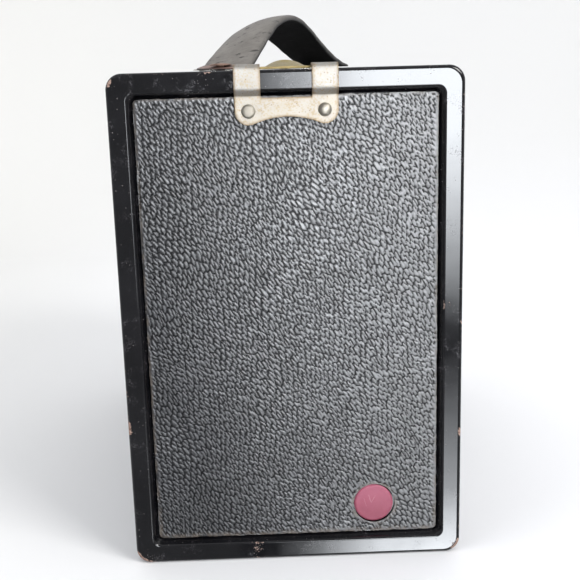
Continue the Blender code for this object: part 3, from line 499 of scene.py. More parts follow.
class Finish(Nodes):
    """A material round one Principled shader."""

    def __init__(self, name):
        self.material = bpy.data.materials.new(name)
        self.material.use_nodes = True
        super().__init__(self.material.node_tree, "Object")
        self.shader = self.tree.nodes["Principled BSDF"]
        self.relief = None

    def set(self, **values):
        """Sets the shader's inputs by name, with _ in the place of spaces."""
        for key, value in values.items():
            if isinstance(value, tuple) and key.endswith("Color"):
                value = (*value, 1.0)
            self.plug(self.shader.inputs[key.replace("_", " ")], value)

    def bump(self, height, depth):
        inputs = {"Height": height, "Distance": depth * MM, "Strength": 1.0}
        if self.relief is not None:
            inputs["Normal"] = self.relief
        self.relief = self.node("ShaderNodeBump", inputs).outputs[0]
        self.plug(self.shader.inputs["Normal"], self.relief)


def enamel_finish(name, marks):
    """Glossy baked enamel: dust, smudges, scuffs, and chips down to rust. marks are (x, z, radius)."""
    f = Finish(name)
    bend = f.stored("bend")
    smudge = f.noise(14, 4, 0.6)
    grime = f.noise(0.9, 5, 0.72)
    fine = f.noise(0.45, 4, 0.7)
    split = f.axes()
    near = []
    for x, z, radius in marks:
        across = f.math("DIVIDE", f.minus(split[0], x * MM), radius * MM)
        up = f.math("DIVIDE", f.minus(split[2], z * MM), radius * MM)
        far = f.math("SQRT", f.plus(f.times(across, across), f.times(up, up)))
        near.append(f.ramp(far, 1.4, 0.2))
    worn = f.most(*near)
    chance = f.plus(f.times(grime, 0.4), f.times(f.noise(9, 2), 0.3))
    chance = f.plus(chance, f.times(fine, 0.3))
    limit = f.minus(0.84, f.times(bend, 0.24))
    limit = f.minus(limit, f.times(worn, 0.245))
    chips = f.ramp(f.minus(chance, limit), -0.012, 0.012)
    dust = f.most(f.specks(1.5, 0.3, 0.1), f.specks(0.7, 0.1, 0.16))
    dust = f.times(dust, f.ramp(smudge, 0.35, 0.6, 0.25, 1.0))
    dust = f.most(dust, f.times(f.specks(0.6, 0.45, 0.2), worn))
    haze = f.times(f.ramp(f.noise(5, 5, 0.7), 0.52, 0.68), f.ramp(fine, 0.42, 0.62))
    rust = f.mix(f.ramp(fine, 0.4, 0.6), (0.12, 0.05, 0.035), (0.42, 0.3, 0.25))
    black = f.mix(f.ramp(smudge, 0.35, 0.75), (0.003, 0.003, 0.004), (0.007, 0.007, 0.0085))
    black = f.lay(black, haze, 0.14, (0.26, 0.24, 0.26))
    black = f.lay(black, dust, 0.6, (0.26, 0.23, 0.22))
    rough = f.plus(f.ramp(smudge, 0.3, 0.8, 0.04, 0.13), f.times(haze, 0.22))
    rough = f.most(f.plus(rough, f.times(dust, 0.5)), f.times(chips, 0.7))
    f.set(Base_Color=f.mix(chips, black, rust), Roughness=rough)
    f.set(Specular_IOR_Level=f.minus(0.5, f.times(chips, 0.3)))
    f.bump(f.noise(8, 1), 0.02)
    f.bump(f.minus(1.0, chips), 0.05)
    f.bump(f.noise(0.35, 3), 0.0012)
    return f.material


def leatherette_finish(name, dark, light, gloss, rubbed=(0.0, 0.0)):
    """Coated cloth with a pressed grain and a frayed edge. rubbed is the polish's rise in X and Z."""
    f = Finish(name)
    grain = f.stored("grain")
    edge = f.stored("edge")
    tone = f.noise(16, 3)
    fibre = f.noise(0.3, 4, 0.7)
    top = f.mix(f.ramp(tone, 0.3, 0.7), dark, light)
    # painted shade: the creases are painted darker than the pebble tops, standing in for the shade that
    # falls in them
    body = f.mix(f.ramp(grain, 0.1, 0.6), (0.006, 0.006, 0.007), top)
    dusty = f.lay(body, f.specks(1.3, 0.1, 0.12), 0.4, (0.24, 0.22, 0.2))
    fray = f.times(edge, f.ramp(f.noise(2.2, 5, 0.7), 0.36, 0.62))
    f.set(Base_Color=f.mix(fray, dusty, (0.085, 0.066, 0.05)))
    split = f.axes()
    rough = f.plus(f.ramp(grain, 0.1, 0.8, gloss + 0.22, gloss), f.times(fray, 0.3))
    f.set(Roughness=f.plus(rough, f.ramp(split[0], 0.0, HALF_X * MM, 0.0, 0.12)))
    polish = f.math("MULTIPLY_ADD", split[2], rubbed[1] / MM, 1.42 - rubbed[1] * MID_Z)
    polish = f.most(f.math("MULTIPLY_ADD", split[0], rubbed[0] / MM, polish), 0.62)
    f.set(Specular_IOR_Level=f.times(f.ramp(grain, 0.1, 0.5, 0.25, 1.0), polish))
    f.bump(fibre, 0.006)
    f.bump(f.cells(0.5)["Distance"], 0.014)
    return f.material


def strap_finish():
    """Old bridle leather: dull brown-grey grain side, rubbed edges, and a reddish worn foot, with painted
    shade darkening its front half and its underside.
    """
    f = Finish("strap_leather")
    edge = f.stored("edge")
    along = f.stored("along")
    under = f.stored("under")
    tone = f.noise(7, 4, 0.6)
    fibre = f.noise(0.5, 4, 0.65, f.stretched(0.2, 1.0, 1.0, (0, 0, 0.45)))
    crease = f.noise(1.6, 3, 0.6, f.stretched(0.3, 1.0, 1.0, (0, 0, 0.45)))
    dark = f.ramp(crease, 0.6, 0.66)
    face = f.mix(f.ramp(tone, 0.3, 0.7), (0.14, 0.128, 0.114), (0.2, 0.187, 0.17))
    face = f.lay(face, f.ramp(fibre, 0.45, 0.7), 0.35, (0.06, 0.052, 0.045))
    face = f.lay(face, dark, 0.9, (0.014, 0.012, 0.011))
    face = f.lay(face, edge, 0.5, (0.075, 0.07, 0.065))
    # painted shade: the front half of the strap is painted darker
    face = f.mix(f.ramp(along, 0.4, 0.6), face, (0.06, 0.057, 0.053))
    foot = f.times(f.ramp(along, 0.1, 0.04), f.ramp(tone, 0.3, 0.55))
    face = f.mix(foot, face, (0.2, 0.11, 0.085))
    # painted shade: the underside is painted nearly black
    f.set(Base_Color=f.mix(under, face, (0.02, 0.0185, 0.0175)))
    f.set(Roughness=f.ramp(tone, 0.3, 0.7, 0.5, 0.62))
    f.bump(f.cells(0.45)["Distance"], 0.02)
    f.bump(f.minus(1.0, dark), 0.12)
    f.bump(fibre, 0.03)
    return f.material


def brass_finish():
    """Pale plated brass, freckled with tan and rust where the plating has gone, with a painted olive-gold
    reflection on the dome and the cross plate.
    """
    f = Finish("latch_brass")
    tone = f.noise(5, 4, 0.6)
    fine = f.times(f.noise(0.5, 4, 0.7), 0.7)
    freckles = f.ramp(f.plus(fine, f.times(f.noise(4), 0.3)), 0.5, 0.6)
    spots = f.specks(0.75, 0.3, 0.24)
    plate = f.mix(f.ramp(tone, 0.3, 0.7), (0.335, 0.315, 0.28), (0.395, 0.385, 0.37))
    foot = f.ramp(f.axes()[2], 122.5 * MM, 120.5 * MM)
    plate = f.lay(plate, foot, 0.4, (0.37, 0.32, 0.24))
    plate = f.lay(plate, freckles, 0.5, (0.38, 0.27, 0.13))
    plate = f.lay(plate, spots, 0.6, (0.17, 0.085, 0.04))
    plate = f.lay(plate, f.stored("rim"), 0.7, (0.2, 0.13, 0.06))
    # painted reflection: the dome and the cross plate are tinted olive-gold, standing in for what they
    # reflect
    plate = f.lay(plate, f.stored("raised"), 0.85, (0.36, 0.28, 0.08))
    f.set(Base_Color=plate, Metallic=0.85)
    f.set(Roughness=f.plus(f.ramp(tone, 0.3, 0.7, 0.5, 0.56), f.times(freckles, 0.12)))
    f.bump(f.noise(3.0, 2), 0.03)
    f.bump(f.noise(0.3, 4, 0.7), 0.01)
    return f.material


def metal_finish(name, light, dark, rough, stain=(0.25, 0.17, 0.1), size=0.5, stained=0.62, metallic=1.0):
    """Plated or bare metal with a drawn grain, clouding, and small stains."""
    f = Finish(name)
    cloud = f.noise(6, 4, 0.6)
    drawn = f.noise(size, 3, 0.6, f.stretched(1.0, 0.15, 1.0))
    stains = f.ramp(f.noise(1.4, 5, 0.7), stained, stained + 0.1)
    tone = f.mix(f.ramp(cloud, 0.3, 0.7), dark, light)
    tone = f.lay(tone, stains, 0.6, stain)
    f.set(Base_Color=tone, Metallic=f.minus(metallic, f.times(stains, 0.3 * metallic)))
    clouded = f.ramp(cloud, 0.3, 0.7, rough - 0.06, rough + 0.08)
    f.set(Roughness=f.plus(clouded, f.times(stains, 0.25)))
    f.bump(drawn, 0.006)
    f.bump(f.noise(0.22, 3, 0.7), 0.003)
    return f.material


def wood_finish():
    """Plain softwood, with growth rings, pores and a dull stain."""
    f = Finish("stained_wood")
    inputs = {"Vector": f.stretched(0.25, 1.0, 1.0, (0.3, 0.1, 0)), "Scale": 260.0}
    inputs.update({"Distortion": 5.0, "Detail": 3.0})
    rings = f.node("ShaderNodeTexWave", inputs, bands_direction="Z")
    pores = f.noise(0.4, 3, 0.6, f.stretched(0.06, 1.0, 1.0))
    tone = f.mix(rings.outputs["Fac"], (0.23, 0.12, 0.055), (0.38, 0.23, 0.12))
    tone = f.mix(f.ramp(pores, 0.6, 0.75), tone, (0.09, 0.045, 0.02))
    f.set(Base_Color=tone, Roughness=f.ramp(pores, 0.3, 0.8, 0.55, 0.75))
    f.bump(pores, 0.04)
    return f.material


def glass_finish(name, rough, cloud_depth, tint):
    """Clear or ground glass, with wipe marks and a little dust in it."""
    f = Finish(name)
    marks = f.noise(3, 4, 0.6, f.stretched(1.0, 1.0, 0.4))
    dust = f.specks(0.7, 0.06, 0.14)
    f.set(Base_Color=f.mix(dust, tint, (0.5, 0.48, 0.45)))
    f.set(Transmission_Weight=f.minus(1.0, f.times(dust, 0.7)))
    f.set(Roughness=f.ramp(marks, 0.4, 0.8, rough, rough + 0.06), IOR=1.5)
    f.bump(f.noise(0.12, 3), cloud_depth)
    return f.material


def mirror_finish():
    """Silvered glass gone cloudy, with black spots where the silver has lifted."""
    f = Finish("aged_mirror")
    cloud = f.noise(3, 4, 0.6)
    spots = f.ramp(f.noise(0.9, 4, 0.7), 0.66, 0.7)
    f.set(Base_Color=f.mix(spots, (0.8, 0.81, 0.82), (0.06, 0.05, 0.04)), Metallic=f.minus(1.0, spots))
    f.set(Roughness=f.ramp(cloud, 0.35, 0.7, 0.03, 0.16))
    f.bump(cloud, 0.004)
    return f.material


def window_finish():
    """Ruby celluloid: deep red, with a soft bloom, a painted sheen that lightens it towards the top, and a
    few fine scratches.
    """
    f = Finish("ruby_celluloid")
    bloom = f.noise(5, 3, 0.6)
    x, z = WINDOW
    long_scratch = f.scratch((x - 1.3, z + 2.5), (x - 0.7, z + 0.1), 0.08)
    short_scratch = f.scratch((x + 0.5, z + 2.2), (x - 0.7, z + 0.1), 0.07)
    scratches = f.most(long_scratch, short_scratch, f.scratch((x - 2.6, z + 1.6), (x - 1.9, z - 0.9), 0.05))
    # painted sheen: the red is painted lighter towards the top of the window
    painted_top_sheen = f.ramp(f.axes()[2], (z - 5) * MM, (z + 5) * MM)
    red = f.mix(painted_top_sheen, (0.235, 0.03, 0.065), (0.32, 0.07, 0.12))
    red = f.mix(f.ramp(bloom, 0.3, 0.9, 0.0, 0.3), red, (0.4, 0.12, 0.17))
    f.set(Base_Color=f.lay(red, scratches, 0.6, (0.62, 0.33, 0.38)))
    f.set(Roughness=f.plus(f.ramp(bloom, 0.2, 0.8, 0.4, 0.5), f.times(scratches, 0.2)))
    f.set(Subsurface_Weight=0.15, Subsurface_Radius=(0.002, 0.0004, 0.0004))
    f.bump(f.noise(2.5, 2), 0.02)
    f.bump(f.minus(1.0, scratches), 0.01)
    return f.material


def blackened_finish():
    """Matt black paint on metal, rubbed to grey in places."""
    f = Finish("matt_black")
    rubbed = f.ramp(f.noise(2.2, 5, 0.7), 0.58, 0.72)
    grain = f.noise(0.2, 3, 0.7)
    f.set(Base_Color=f.lay((0.012, 0.012, 0.0125), rubbed, 0.5, (0.07, 0.066, 0.06)))
    f.set(Roughness=f.ramp(rubbed, 0, 1, 0.62, 0.45), Metallic=f.times(rubbed, 0.5))
    f.bump(grain, 0.01)
    return f.material


# where the enamel is worn, as (x, z, radius)
DOOR_MARKS = ((-41.0, 1.6, 3.0), (-41.8, 38, 2.2), (-39.0, 39.5, 1.2), (-10.5, 3.0, 2.6), (1.25, 1.2, 0.9))
DOOR_MARKS += ((42.4, 34, 1.2), (39.6, 68, 1.8), (-41.5, 124.5, 1.2), (-19, 124.5, 2.6), (41.5, 2.5, 1.8))
DOOR_ENAMEL = enamel_finish("door_enamel", DOOR_MARKS)
FRONT_MARKS = ((38.5, 124, 2.6), (-41.5, 3, 2.4), (8, 2.2, 1.8), (-41, 80, 1.6))
FRONT_ENAMEL = enamel_finish("front_enamel", FRONT_MARKS)
PANEL_TONES = ((0.011, 0.011, 0.0125), (0.019, 0.019, 0.022))
PANEL_LEATHER = leatherette_finish("panel_leatherette", *PANEL_TONES, 0.35, (0.0235, 0.006))
WRAP_LEATHER = leatherette_finish("wrap_leatherette", (0.016, 0.016, 0.018), (0.027, 0.027, 0.031), 0.4)
STRAP = strap_finish()
BRASS = brass_finish()
NICKEL = metal_finish("dull_nickel", (0.74, 0.71, 0.66), (0.55, 0.52, 0.47), 0.27)
DULL_RIVET = metal_finish("dull_rivet", (0.36, 0.33, 0.28), (0.27, 0.25, 0.21), 0.55)
BRIGHT_RIVET = metal_finish("bright_rivet", (0.42, 0.395, 0.34), (0.34, 0.315, 0.27), 0.52)
STUD_TONES = ((0.3, 0.2, 0.15), (0.17, 0.1, 0.075))
WORN_STUD = metal_finish("worn_stud", *STUD_TONES, 0.5, (0.06, 0.03, 0.02), 0.5, 0.52, 0.5)
STEEL = metal_finish("rolled_steel", (0.36, 0.36, 0.37), (0.2, 0.2, 0.21), 0.42, (0.16, 0.08, 0.04), 0.7)
SHELL_TONES = ((0.03, 0.03, 0.032), (0.014, 0.014, 0.015))
SHELL_BLACK = metal_finish("lacquered_steel", *SHELL_TONES, 0.5, (0.12, 0.07, 0.045), 0.7, 0.66, 0.2)
BLACKENED = blackened_finish()
WOOD = wood_finish()
GLASS = glass_finish("lens_glass", 0.01, 0.0, (0.93, 0.97, 0.97))
GROUND = glass_finish("ground_glass", 0.32, 0.02, (0.42, 0.45, 0.45))
MIRROR = mirror_finish()
RUBY = window_finish()


# ---- the two pressed trays


def tray_loop(inset, y):
    """One line round a tray, at a distance in from its edge."""
    radius = CORNER - CORNER_TAPER * inset
    loop = rounded_rectangle(HALF_X - inset, MID_Z - inset, radius, (0, MID_Z), CORNER_PARTS)
    return PLACE["y"](loop[:, 0], loop[:, 1], y)


def side_divided(loop):
    """The loop with the straight side after each corner cut into equal parts."""
    points = []
    for index, (here, after) in enumerate(zip(loop, np.roll(loop, -1, 0))):
        parts = SIDE_PARTS if index % (CORNER_PARTS + 1) == CORNER_PARTS else 1
        points += [here + (after - here) * part / parts for part in range(parts)]
    return np.array(points)


def tray(name, face_y, inward):
    """Skirt, rounded edge, flat rim, falling slope and sunk panel. inward is +1 or -1 along Y."""
    section = [(0.0, SKIRT, 0.3), (0.0, SKIRT - 0.5, 0.2), (0.0, SKIRT / 2, 0.0)]
    for step in range(8):
        turn = math.radians(90 * step / 7)
        bend = math.sin(2 * turn) * 0.9 + 0.1
        section.append((EDGE_ROUND * (1 - math.cos(turn)), EDGE_ROUND * (1 - math.sin(turn)), bend))
    section += [(EDGE_ROUND + 0.06, 0.0, 0.0), (2.4, 0.0, 0.0), (SLOPE_START - 0.1, 0.0, 0.1)]
    for step in range(17):
        share = step / 16
        bend = max(0.0, 1 - 4 * abs(share - 0.16)) * 0.75
        section.append((SLOPE_START + (SLOPE_END - SLOPE_START) * share, RECESS * smooth_step(share), bend))
    floor = RECESS + SHEET
    outer_count = len(section)
    section += [(SLOPE_END + 0.2, floor, 0), (SLOPE_END - SHEET, floor, 0), (SLOPE_START - 0.3, SHEET, 0)]
    section += [(EDGE_ROUND + 0.3, SHEET, 0), (SHEET, EDGE_ROUND + 0.3, 0), (SHEET, SKIRT, 0)]
    loops = [side_divided(tray_loop(inset, face_y + inward * depth)) for inset, depth, _ in section]
    size = len(loops[0])
    faces = []
    for row in range(len(loops)):
        if row != outer_count - 1:
            faces += band(row * size, (row + 1) % len(loops) * size, size)
    for row, order in ((outer_count - 1, 1), (outer_count, -1)):
        faces.append(list(range(row * size, (row + 1) * size))[::order])
    points = np.concatenate(loops)
    x, z = points[:, 0], points[:, 2]
    points[:, 1] += 0.035 * (soft_noise(x + 7, z, 19, 3) + 0.5 * soft_noise(x, z, 8, 4))
    obj = piece_from(name, points, faces)
    note(obj, "bend", np.repeat([bend for _, _, bend in section], size))
    return obj


HINGE = centre_mm("hinge_pin", 1, 2)
HINGE_HALF = 20.0
HINGE_MIDDLE = 7.7
KNUCKLE_R = 1.6
KNUCKLE_BORE_R = 0.9
TAB_SWING = 2.7


def knuckle(name, start, end):
    """A rolled hinge barrel with a bore for the pin."""
    profile = [(KNUCKLE_R, start), (KNUCKLE_R, end), (KNUCKLE_BORE_R, end), (KNUCKLE_BORE_R, start)]
    return turned(name, "x", HINGE, profile, True, 40, 0.1)


def block(name, low, high):
    outline = [(low[0], low[1]), (high[0], low[1]), (high[0], high[1]), (low[0], high[1])]
    return prism(name, "z", outline, low[2], high[2])


def build_door_tray():
    door = tray("door_tray", REAR_Y, 1)
    added = []
    for side in (-1, 1):
        near, far = sorted((side * (HINGE_MIDDLE + GAP), side * HINGE_HALF))
        added.append(block("tab", (near, REAR_Y + SKIRT - 2, 0.02), (far, HINGE[0] - 1.0, SHEET)))
        added.append(knuckle("barrel", near, far))
    combine(door, "UNION", added)
    hole = rod("hole", "y", WINDOW, WINDOW_R - 0.5, REAR_Y - 2, REAR_Y + 6)
    combine(door, "DIFFERENCE", [hole])
    finish_piece(door, DOOR_ENAMEL, "black_enamel", "door", "back_door")


LENS_CENTRE = (0.0, MID_Z)
LENS_HOLE_R = radius_mm("lens_bezel") - 3.6


def finder_holes():
    """Where the two finder lenses look through the front: (x, z) and radius."""
    names = ("top_finder_lens", "side_finder_lens")
    return [(centre_mm(name, 0, 2), radius_mm(name) - 1.0) for name in names]


def build_front_tray():
    front = tray("front_tray", FRONT_Y, -1)
    cutters = [rod("hole", "y", LENS_CENTRE, LENS_HOLE_R + GAP, FRONT_Y - 6, FRONT_Y + 2)]
    for centre, radius in finder_holes():
        cutters.append(rod("hole", "y", centre, radius, FRONT_Y - 6, FRONT_Y + 2))
    combine(front, "DIFFERENCE", cutters)
    finish_piece(front, FRONT_ENAMEL, "black_enamel", "body", "front_frame")


def panel_leather(name, face_y, inward, holes, seed, body, node, step):
    """The leatherette in a tray's sunk panel: real pressed grain, with a slightly ragged cut edge."""
    margin = SLOPE_END + PANEL_ROOM
    outline = rounded_rectangle(HALF_X - margin, MID_Z - margin, 1.1, (0, MID_Z), 8, 0.3)
    ragged = 0.09 * soft_noise(outline[:, 0], outline[:, 1], 1.7, seed + 40)
    ragged += 0.06 * soft_noise(outline[:, 0], outline[:, 1], 0.6, seed + 41)
    centre = np.array([0.0, MID_Z])
    outline += (outline - centre) / np.linalg.norm(outline - centre, axis=1)[:, None] * ragged[:, None]
    loops = [outline] + [circle(place, radius) for place, radius in holes]
    back_y = face_y + inward * (RECESS - GAP)
    front_y = back_y - inward * (LEATHER - 0.03)
    rim = np.concatenate(loops)
    memory = {}

    def front(points):
        x, z = points[:, 0], points[:, 1]
        far = distances(points, rim)
        grain = leather_grain(x, z, seed)
        pressed = 0.9 + 0.8 * soft_noise(x, z, 6, seed + 31)
        rise = smooth_step(far / 0.45)
        relief = 0.25 + 0.75 * smooth_step(far / pressed)
        swell = 0.04 * soft_noise(x, z, 17, seed + 30)
        depth = (1 - grain) * GRAIN_DEPTH * relief + (1 - rise) * 0.13 + swell
        memory["grain"] = 1 - (1 - grain) * relief
        memory["edge"] = smooth_step(1 - far / (0.8 + 0.8 * smooth_step((25 - z) / 20)))
        return np.stack([x, front_y + inward * depth, z], 1)

    def back(points):
        return PLACE["y"](points[:, 0], points[:, 1], back_y)

    obj, _, rest = slab(name, loops, step, front, back)
    for key, values in memory.items():
        note(obj, key, np.concatenate([values, np.full(rest, 1.0 if key == "edge" else 0.5)]))
    smooth(obj, 60)
    finish_piece(obj, PANEL_LEATHER, "leatherette", body, node)


# ---- the body's leatherette wrap


def wrap_place(s, depth, half_u):
    """A point on the wrap: s runs round from the middle of a side, depth is below the surface."""
    flat = half_u - CORNER
    side = np.sign(s)
    angle = np.clip(np.abs(s) - flat, 0, CORNER * math.pi / 4) / CORNER
    u = side * (np.minimum(np.abs(s), flat) + (CORNER - depth) * np.sin(angle))
    v = -CORNER + (CORNER - depth) * np.cos(angle)
    return u, v


WRAP_SIDES = {
    "top": (lambda u, v: (u, HEIGHT + v), HALF_X),
    "bottom": (lambda u, v: (-u, -v), HALF_X),
    "right": (lambda u, v: (HALF_X + v, MID_Z - u), MID_Z),
    "left": (lambda u, v: (-HALF_X - v, MID_Z + u), MID_Z),
}
WRAP_THICK = 0.62


def wrap_leather(side, holes, seed):
    """One side of the wrap, to the middle of each corner beside it. holes are loops in (round, y)."""
    to_xz, half_u = WRAP_SIDES[side]
    reach = half_u - CORNER + CORNER * math.pi / 4
    end = COVER_END - 0.05
    corners = [(reach, -end), (reach, end), (-reach, end), (-reach, -end)]
    loops = [divided(corners, 0.5)] + holes
    memory = {}

    def place(points, depth):
        x, z = to_xz(*wrap_place(points[:, 0], depth, half_u))
        return np.stack([x, points[:, 1], z], 1)

    def front(points):
        x, z = to_xz(*wrap_place(points[:, 0], 0, half_u))
        grain = leather_grain((x + z) * 0.97, points[:, 1], seed)
        ends = end - np.abs(points[:, 1])
        rise = smooth_step((ends + 0.1) / 0.6)
        rise = rise * smooth_step(distances(points, np.concatenate(holes)) / 0.6 + 0.1)
        memory["grain"] = grain
        memory["edge"] = smooth_step(1 - ends / 0.8)
        return place(points, (1 - grain) * GRAIN_DEPTH * (0.3 + 0.7 * rise) + (1 - rise) * 0.12)

    def back(points):
        return place(points, WRAP_THICK)

    step = WRAP_STEP
    obj, _, rest = slab(f"leather_wrap_{side}", loops, step, front, back, 2.0)
    for key, values in memory.items():
        note(obj, key, np.concatenate([values, np.full(rest, 0.5)]))
    smooth(obj, 60)
    return finish_piece(obj, WRAP_LEATHER, "leatherette", "body")


def hole_loop(node, grow, axes=(0, 1)):
    """A round hole for a round piece."""
    return circle(centre_mm(node, *axes), radius_mm(node, axes[0]) + grow, 0.5)


def slot_loop(low, high):
    return divided([(low[0], low[1]), (high[0], low[1]), (high[0], high[1]), (low[0], high[1])], 0.5)


def box_slot(node, shrink, axes=(0, 1)):
    """A square hole at a node's box, drawn in by shrink."""
    low, high = box_mm(node)
    return slot_loop([low[axis] + shrink for axis in axes], [high[axis] - shrink for axis in axes])


def around(loop, side):
    """A loop in (x, y) or (z, y) turned into a side's own (round, y)."""
    u, y = loop[:, 0], loop[:, 1]
    run = {"top": u, "bottom": -u, "right": MID_Z - u, "left": u - MID_Z}[side]
    return np.stack([run, y], 1)


def build_wrap():
    """The four sides, cut out round the fittings, and at the bottom round the door's hinge tabs."""
    room, frame_room, stud_room, tab_length = 0.4, 2.2, 1.5, 5.0
    low, high = box_mm("aperture_slide")
    aperture = slot_loop((high.x - tab_length - room, low.y - room), (high.x + room, high.y + room))
    lever_y, lever_z = centre_mm("shutter_lever", 1) + centre_mm("lever_pivot_pin", 2)
    notch_half = HINGE_HALF + 0.7
    zy = (2, 1)
    sides = {
        "top": [aperture, box_slot("time_slide", -room), box_slot("top_finder_frame", frame_room)],
        "right": [box_slot("side_finder_frame", frame_room, zy), hole_loop("key_escutcheon", -2.0, zy)],
        "left": [hole_loop("tripod_bush_side", GAP, zy)],
        "bottom": [hole_loop("tripod_bush_bottom", GAP)],
    }
    sides["top"] += [hole_loop("latch_catch", GAP)] + [hole_loop(stud, -stud_room) for stud in STUDS]
    sides["right"].append(slot_loop((lever_z - 5.4, lever_y - 1.1), (lever_z + 5.4, lever_y + 1.1)))
    sides["bottom"].append(slot_loop((-notch_half, -COVER_END + 0.3), (notch_half, HINGE[0] + TAB_SWING)))
    for seed, (side, loops) in enumerate(sides.items(), 11):
        piece = wrap_leather(side, [around(loop, side) for loop in loops], seed)
        if side == "top":
            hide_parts("body_covering")


# ---- latch

LATCH_HALF = 12.5
LATCH_INNER = 6.15
LATCH_SHEET = 0.6
FOOT_Y = REAR_Y + RECESS - LEATHER - 2 * GAP - LATCH_SHEET / 2
OUT_Y = REAR_Y - 0.65
FOOT_LOW = 114.0
OPENING_LOW = HEIGHT - 6.55
RIVET_X = 9.2
RIVET_Z = HEIGHT - 9.7
HASP_END_Y = box_mm("latch_hasp")[1].y
(DOME_Y,) = centre_mm("latch_catch", 1)
DOME_R = 4.9
DOME_RISE = 1.6
HASP_LEVEL = HEIGHT + 0.08 + LATCH_SHEET / 2
HASP_REAR_Y = REAR_Y + 5.4


def filleted(corners, radii):
    """An open line of (y, z) points with its inner corners rounded."""
    steps = 8
    line = [np.array(corners[0], float)]
    for before, here, after, radius in zip(corners, corners[1:], corners[2:], radii):
        before, here, after = (np.array(p, float) for p in (before, here, after))
        into = (here - before) / np.linalg.norm(here - before)
        out = (after - here) / np.linalg.norm(after - here)
        turn = math.acos(np.clip(into @ out, -1, 1))
        reach = radius * math.tan(turn / 2)
        for step in range(steps + 1):
            t = step / steps
            a, b = here - into * reach, here + out * reach
            line.append((1 - t) ** 2 * a + 2 * t * (1 - t) * here + t * t * b)
    line.append(np.array(corners[-1], float))
    return np.array(line)


def latch_path():
    """The sheet's middle line seen from the side, with the length along it."""
    top = HEIGHT + 1.05
    corners = [(FOOT_Y, FOOT_LOW), (FOOT_Y, HEIGHT - 6.0), (OUT_Y, HEIGHT - 4.5), (OUT_Y, top)]
    corners += [(REAR_Y + 3.3, top), (REAR_Y + 4.7, HASP_LEVEL), (HASP_END_Y, HASP_LEVEL)]
    line = filleted(corners, (0.8, 0.8, 1.15, 0.8, 0.8))
    run = np.concatenate([[0], np.cumsum(np.linalg.norm(np.diff(line, axis=0), axis=1))])
    return line, run


def arc(centre, radius, start, end, steps):
    angles = [math.radians(start + (end - start) * i / steps) for i in range(steps + 1)]
    return [(centre[0] + radius * math.cos(a), centre[1] + radius * math.sin(a)) for a in angles]


def build_latch():
    """One springy stamping: riveted foot, two arms over the rim, and a cross plate with a dome."""
    line, run = latch_path()
    total = run[-1]
    at_rear = np.interp(HASP_REAR_Y, line[-20:, 0], run[-20:])
    at_dome = total - (HASP_END_Y - DOME_Y)
    lobe = LATCH_HALF - RIVET_X
    rivet_s = RIVET_Z - FOOT_LOW
    arch_half = RIVET_X - 0.9
    outline = arc((-RIVET_X, rivet_s), lobe, 180, 285, 14)
    for step in range(1, 20):
        x = arch_half * (step / 10 - 1)
        outline.append((x, rivet_s - lobe + 0.1 + 1.75 * (1 - (x / arch_half) ** 2)))
    outline += arc((RIVET_X, rivet_s), lobe, 255, 360, 14)
    turn = 4.0
    outline += arc((LATCH_HALF - turn, total - turn), turn, 0, 90, 10)
    outline += arc((turn - LATCH_HALF, total - turn), turn, 90, 180, 10)
    low, high = OPENING_LOW - FOOT_LOW, at_rear
    opening = rounded_rectangle(LATCH_INNER, (high - low) / 2, 0.35, (0, (low + high) / 2), 4, 0.4)
    loops = [divided(outline, 0.4), opening]

    def on_line(s):
        return np.stack([np.interp(s, run, line[:, 0]), np.interp(s, run, line[:, 1])])

    def face(points, offset):
        s = points[:, 1]
        y, z = on_line(s)
        ty, tz = on_line(np.minimum(s + 0.05, total)) - on_line(np.maximum(s - 0.05, 0))
        length = np.hypot(ty, tz)
        ny, nz = -tz / length, ty / length
        from_dome = np.hypot(points[:, 0], s - at_dome)
        raised = DOME_RISE * np.clip(1 - (from_dome / DOME_R) ** 2, 0, 1)
        lift = raised + 0.06 * soft_noise(points[:, 0], s, 4.5, 61) + offset
        return np.stack([points[:, 0], y + ny * lift, z + nz * lift], 1)

    half = LATCH_SHEET / 2
    obj, points, rest = slab("latch", loops, 0.4, lambda p: face(p, half), lambda p: face(p, -half), 0.4)
    # raised marks where the brass gets its painted olive-gold reflection: round the dome and along the
    # cross plate
    from_dome = np.hypot(points[:, 0], points[:, 1] - at_dome)
    on_hasp = smooth_step((points[:, 1] - at_rear + 2.5) / 2.0)
    raised = np.maximum(np.clip(1.3 - from_dome / DOME_R, 0, 1), 0.6 * on_hasp)
    note(obj, "raised", np.concatenate([raised, raised[:rest]]))
    rim = smooth_step(1.25 - distances(points, np.concatenate(loops)) / 0.55)
    note(obj, "rim", np.concatenate([rim, rim[:rest]]))
    bevel(obj, 0.1, 60)
    settle(obj, 50)
    finish_piece(obj, BRASS, "plated_brass", None, "latch_plate", "latch_hasp")
    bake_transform(obj)


def build_rivets():
    """The left rivet's head is nearly flat and the right one's is round."""
    head = FOOT_Y - LATCH_SHEET / 2 - 0.05
    tail = REAR_Y + RECESS + SHEET + GAP
    shank = [(0.8, head), (0.8, tail), (1.6, tail), (1.45, tail + 0.6)]
    flat = ((0.35, 0.52), (1.1, 0.47), (1.45, 0.36), (1.68, 0.14), (1.7, 0.0))
    domed = ((0.3, 0.86), (0.75, 0.8), (1.15, 0.62), (1.45, 0.36), (1.68, 0.0))
    left = ("latch_rivet_left", -RIVET_X, flat, DULL_RIVET)
    right = ("latch_rivet_right", RIVET_X, domed, BRIGHT_RIVET)
    for node, x, top, finish in (left, right):
        profile = [(radius, head - rise) for radius, rise in top] + shank
        fitting(f"{node}_head", "y", (x, RIVET_Z), profile, finish, "nickel", "door", node, edge=0.06)


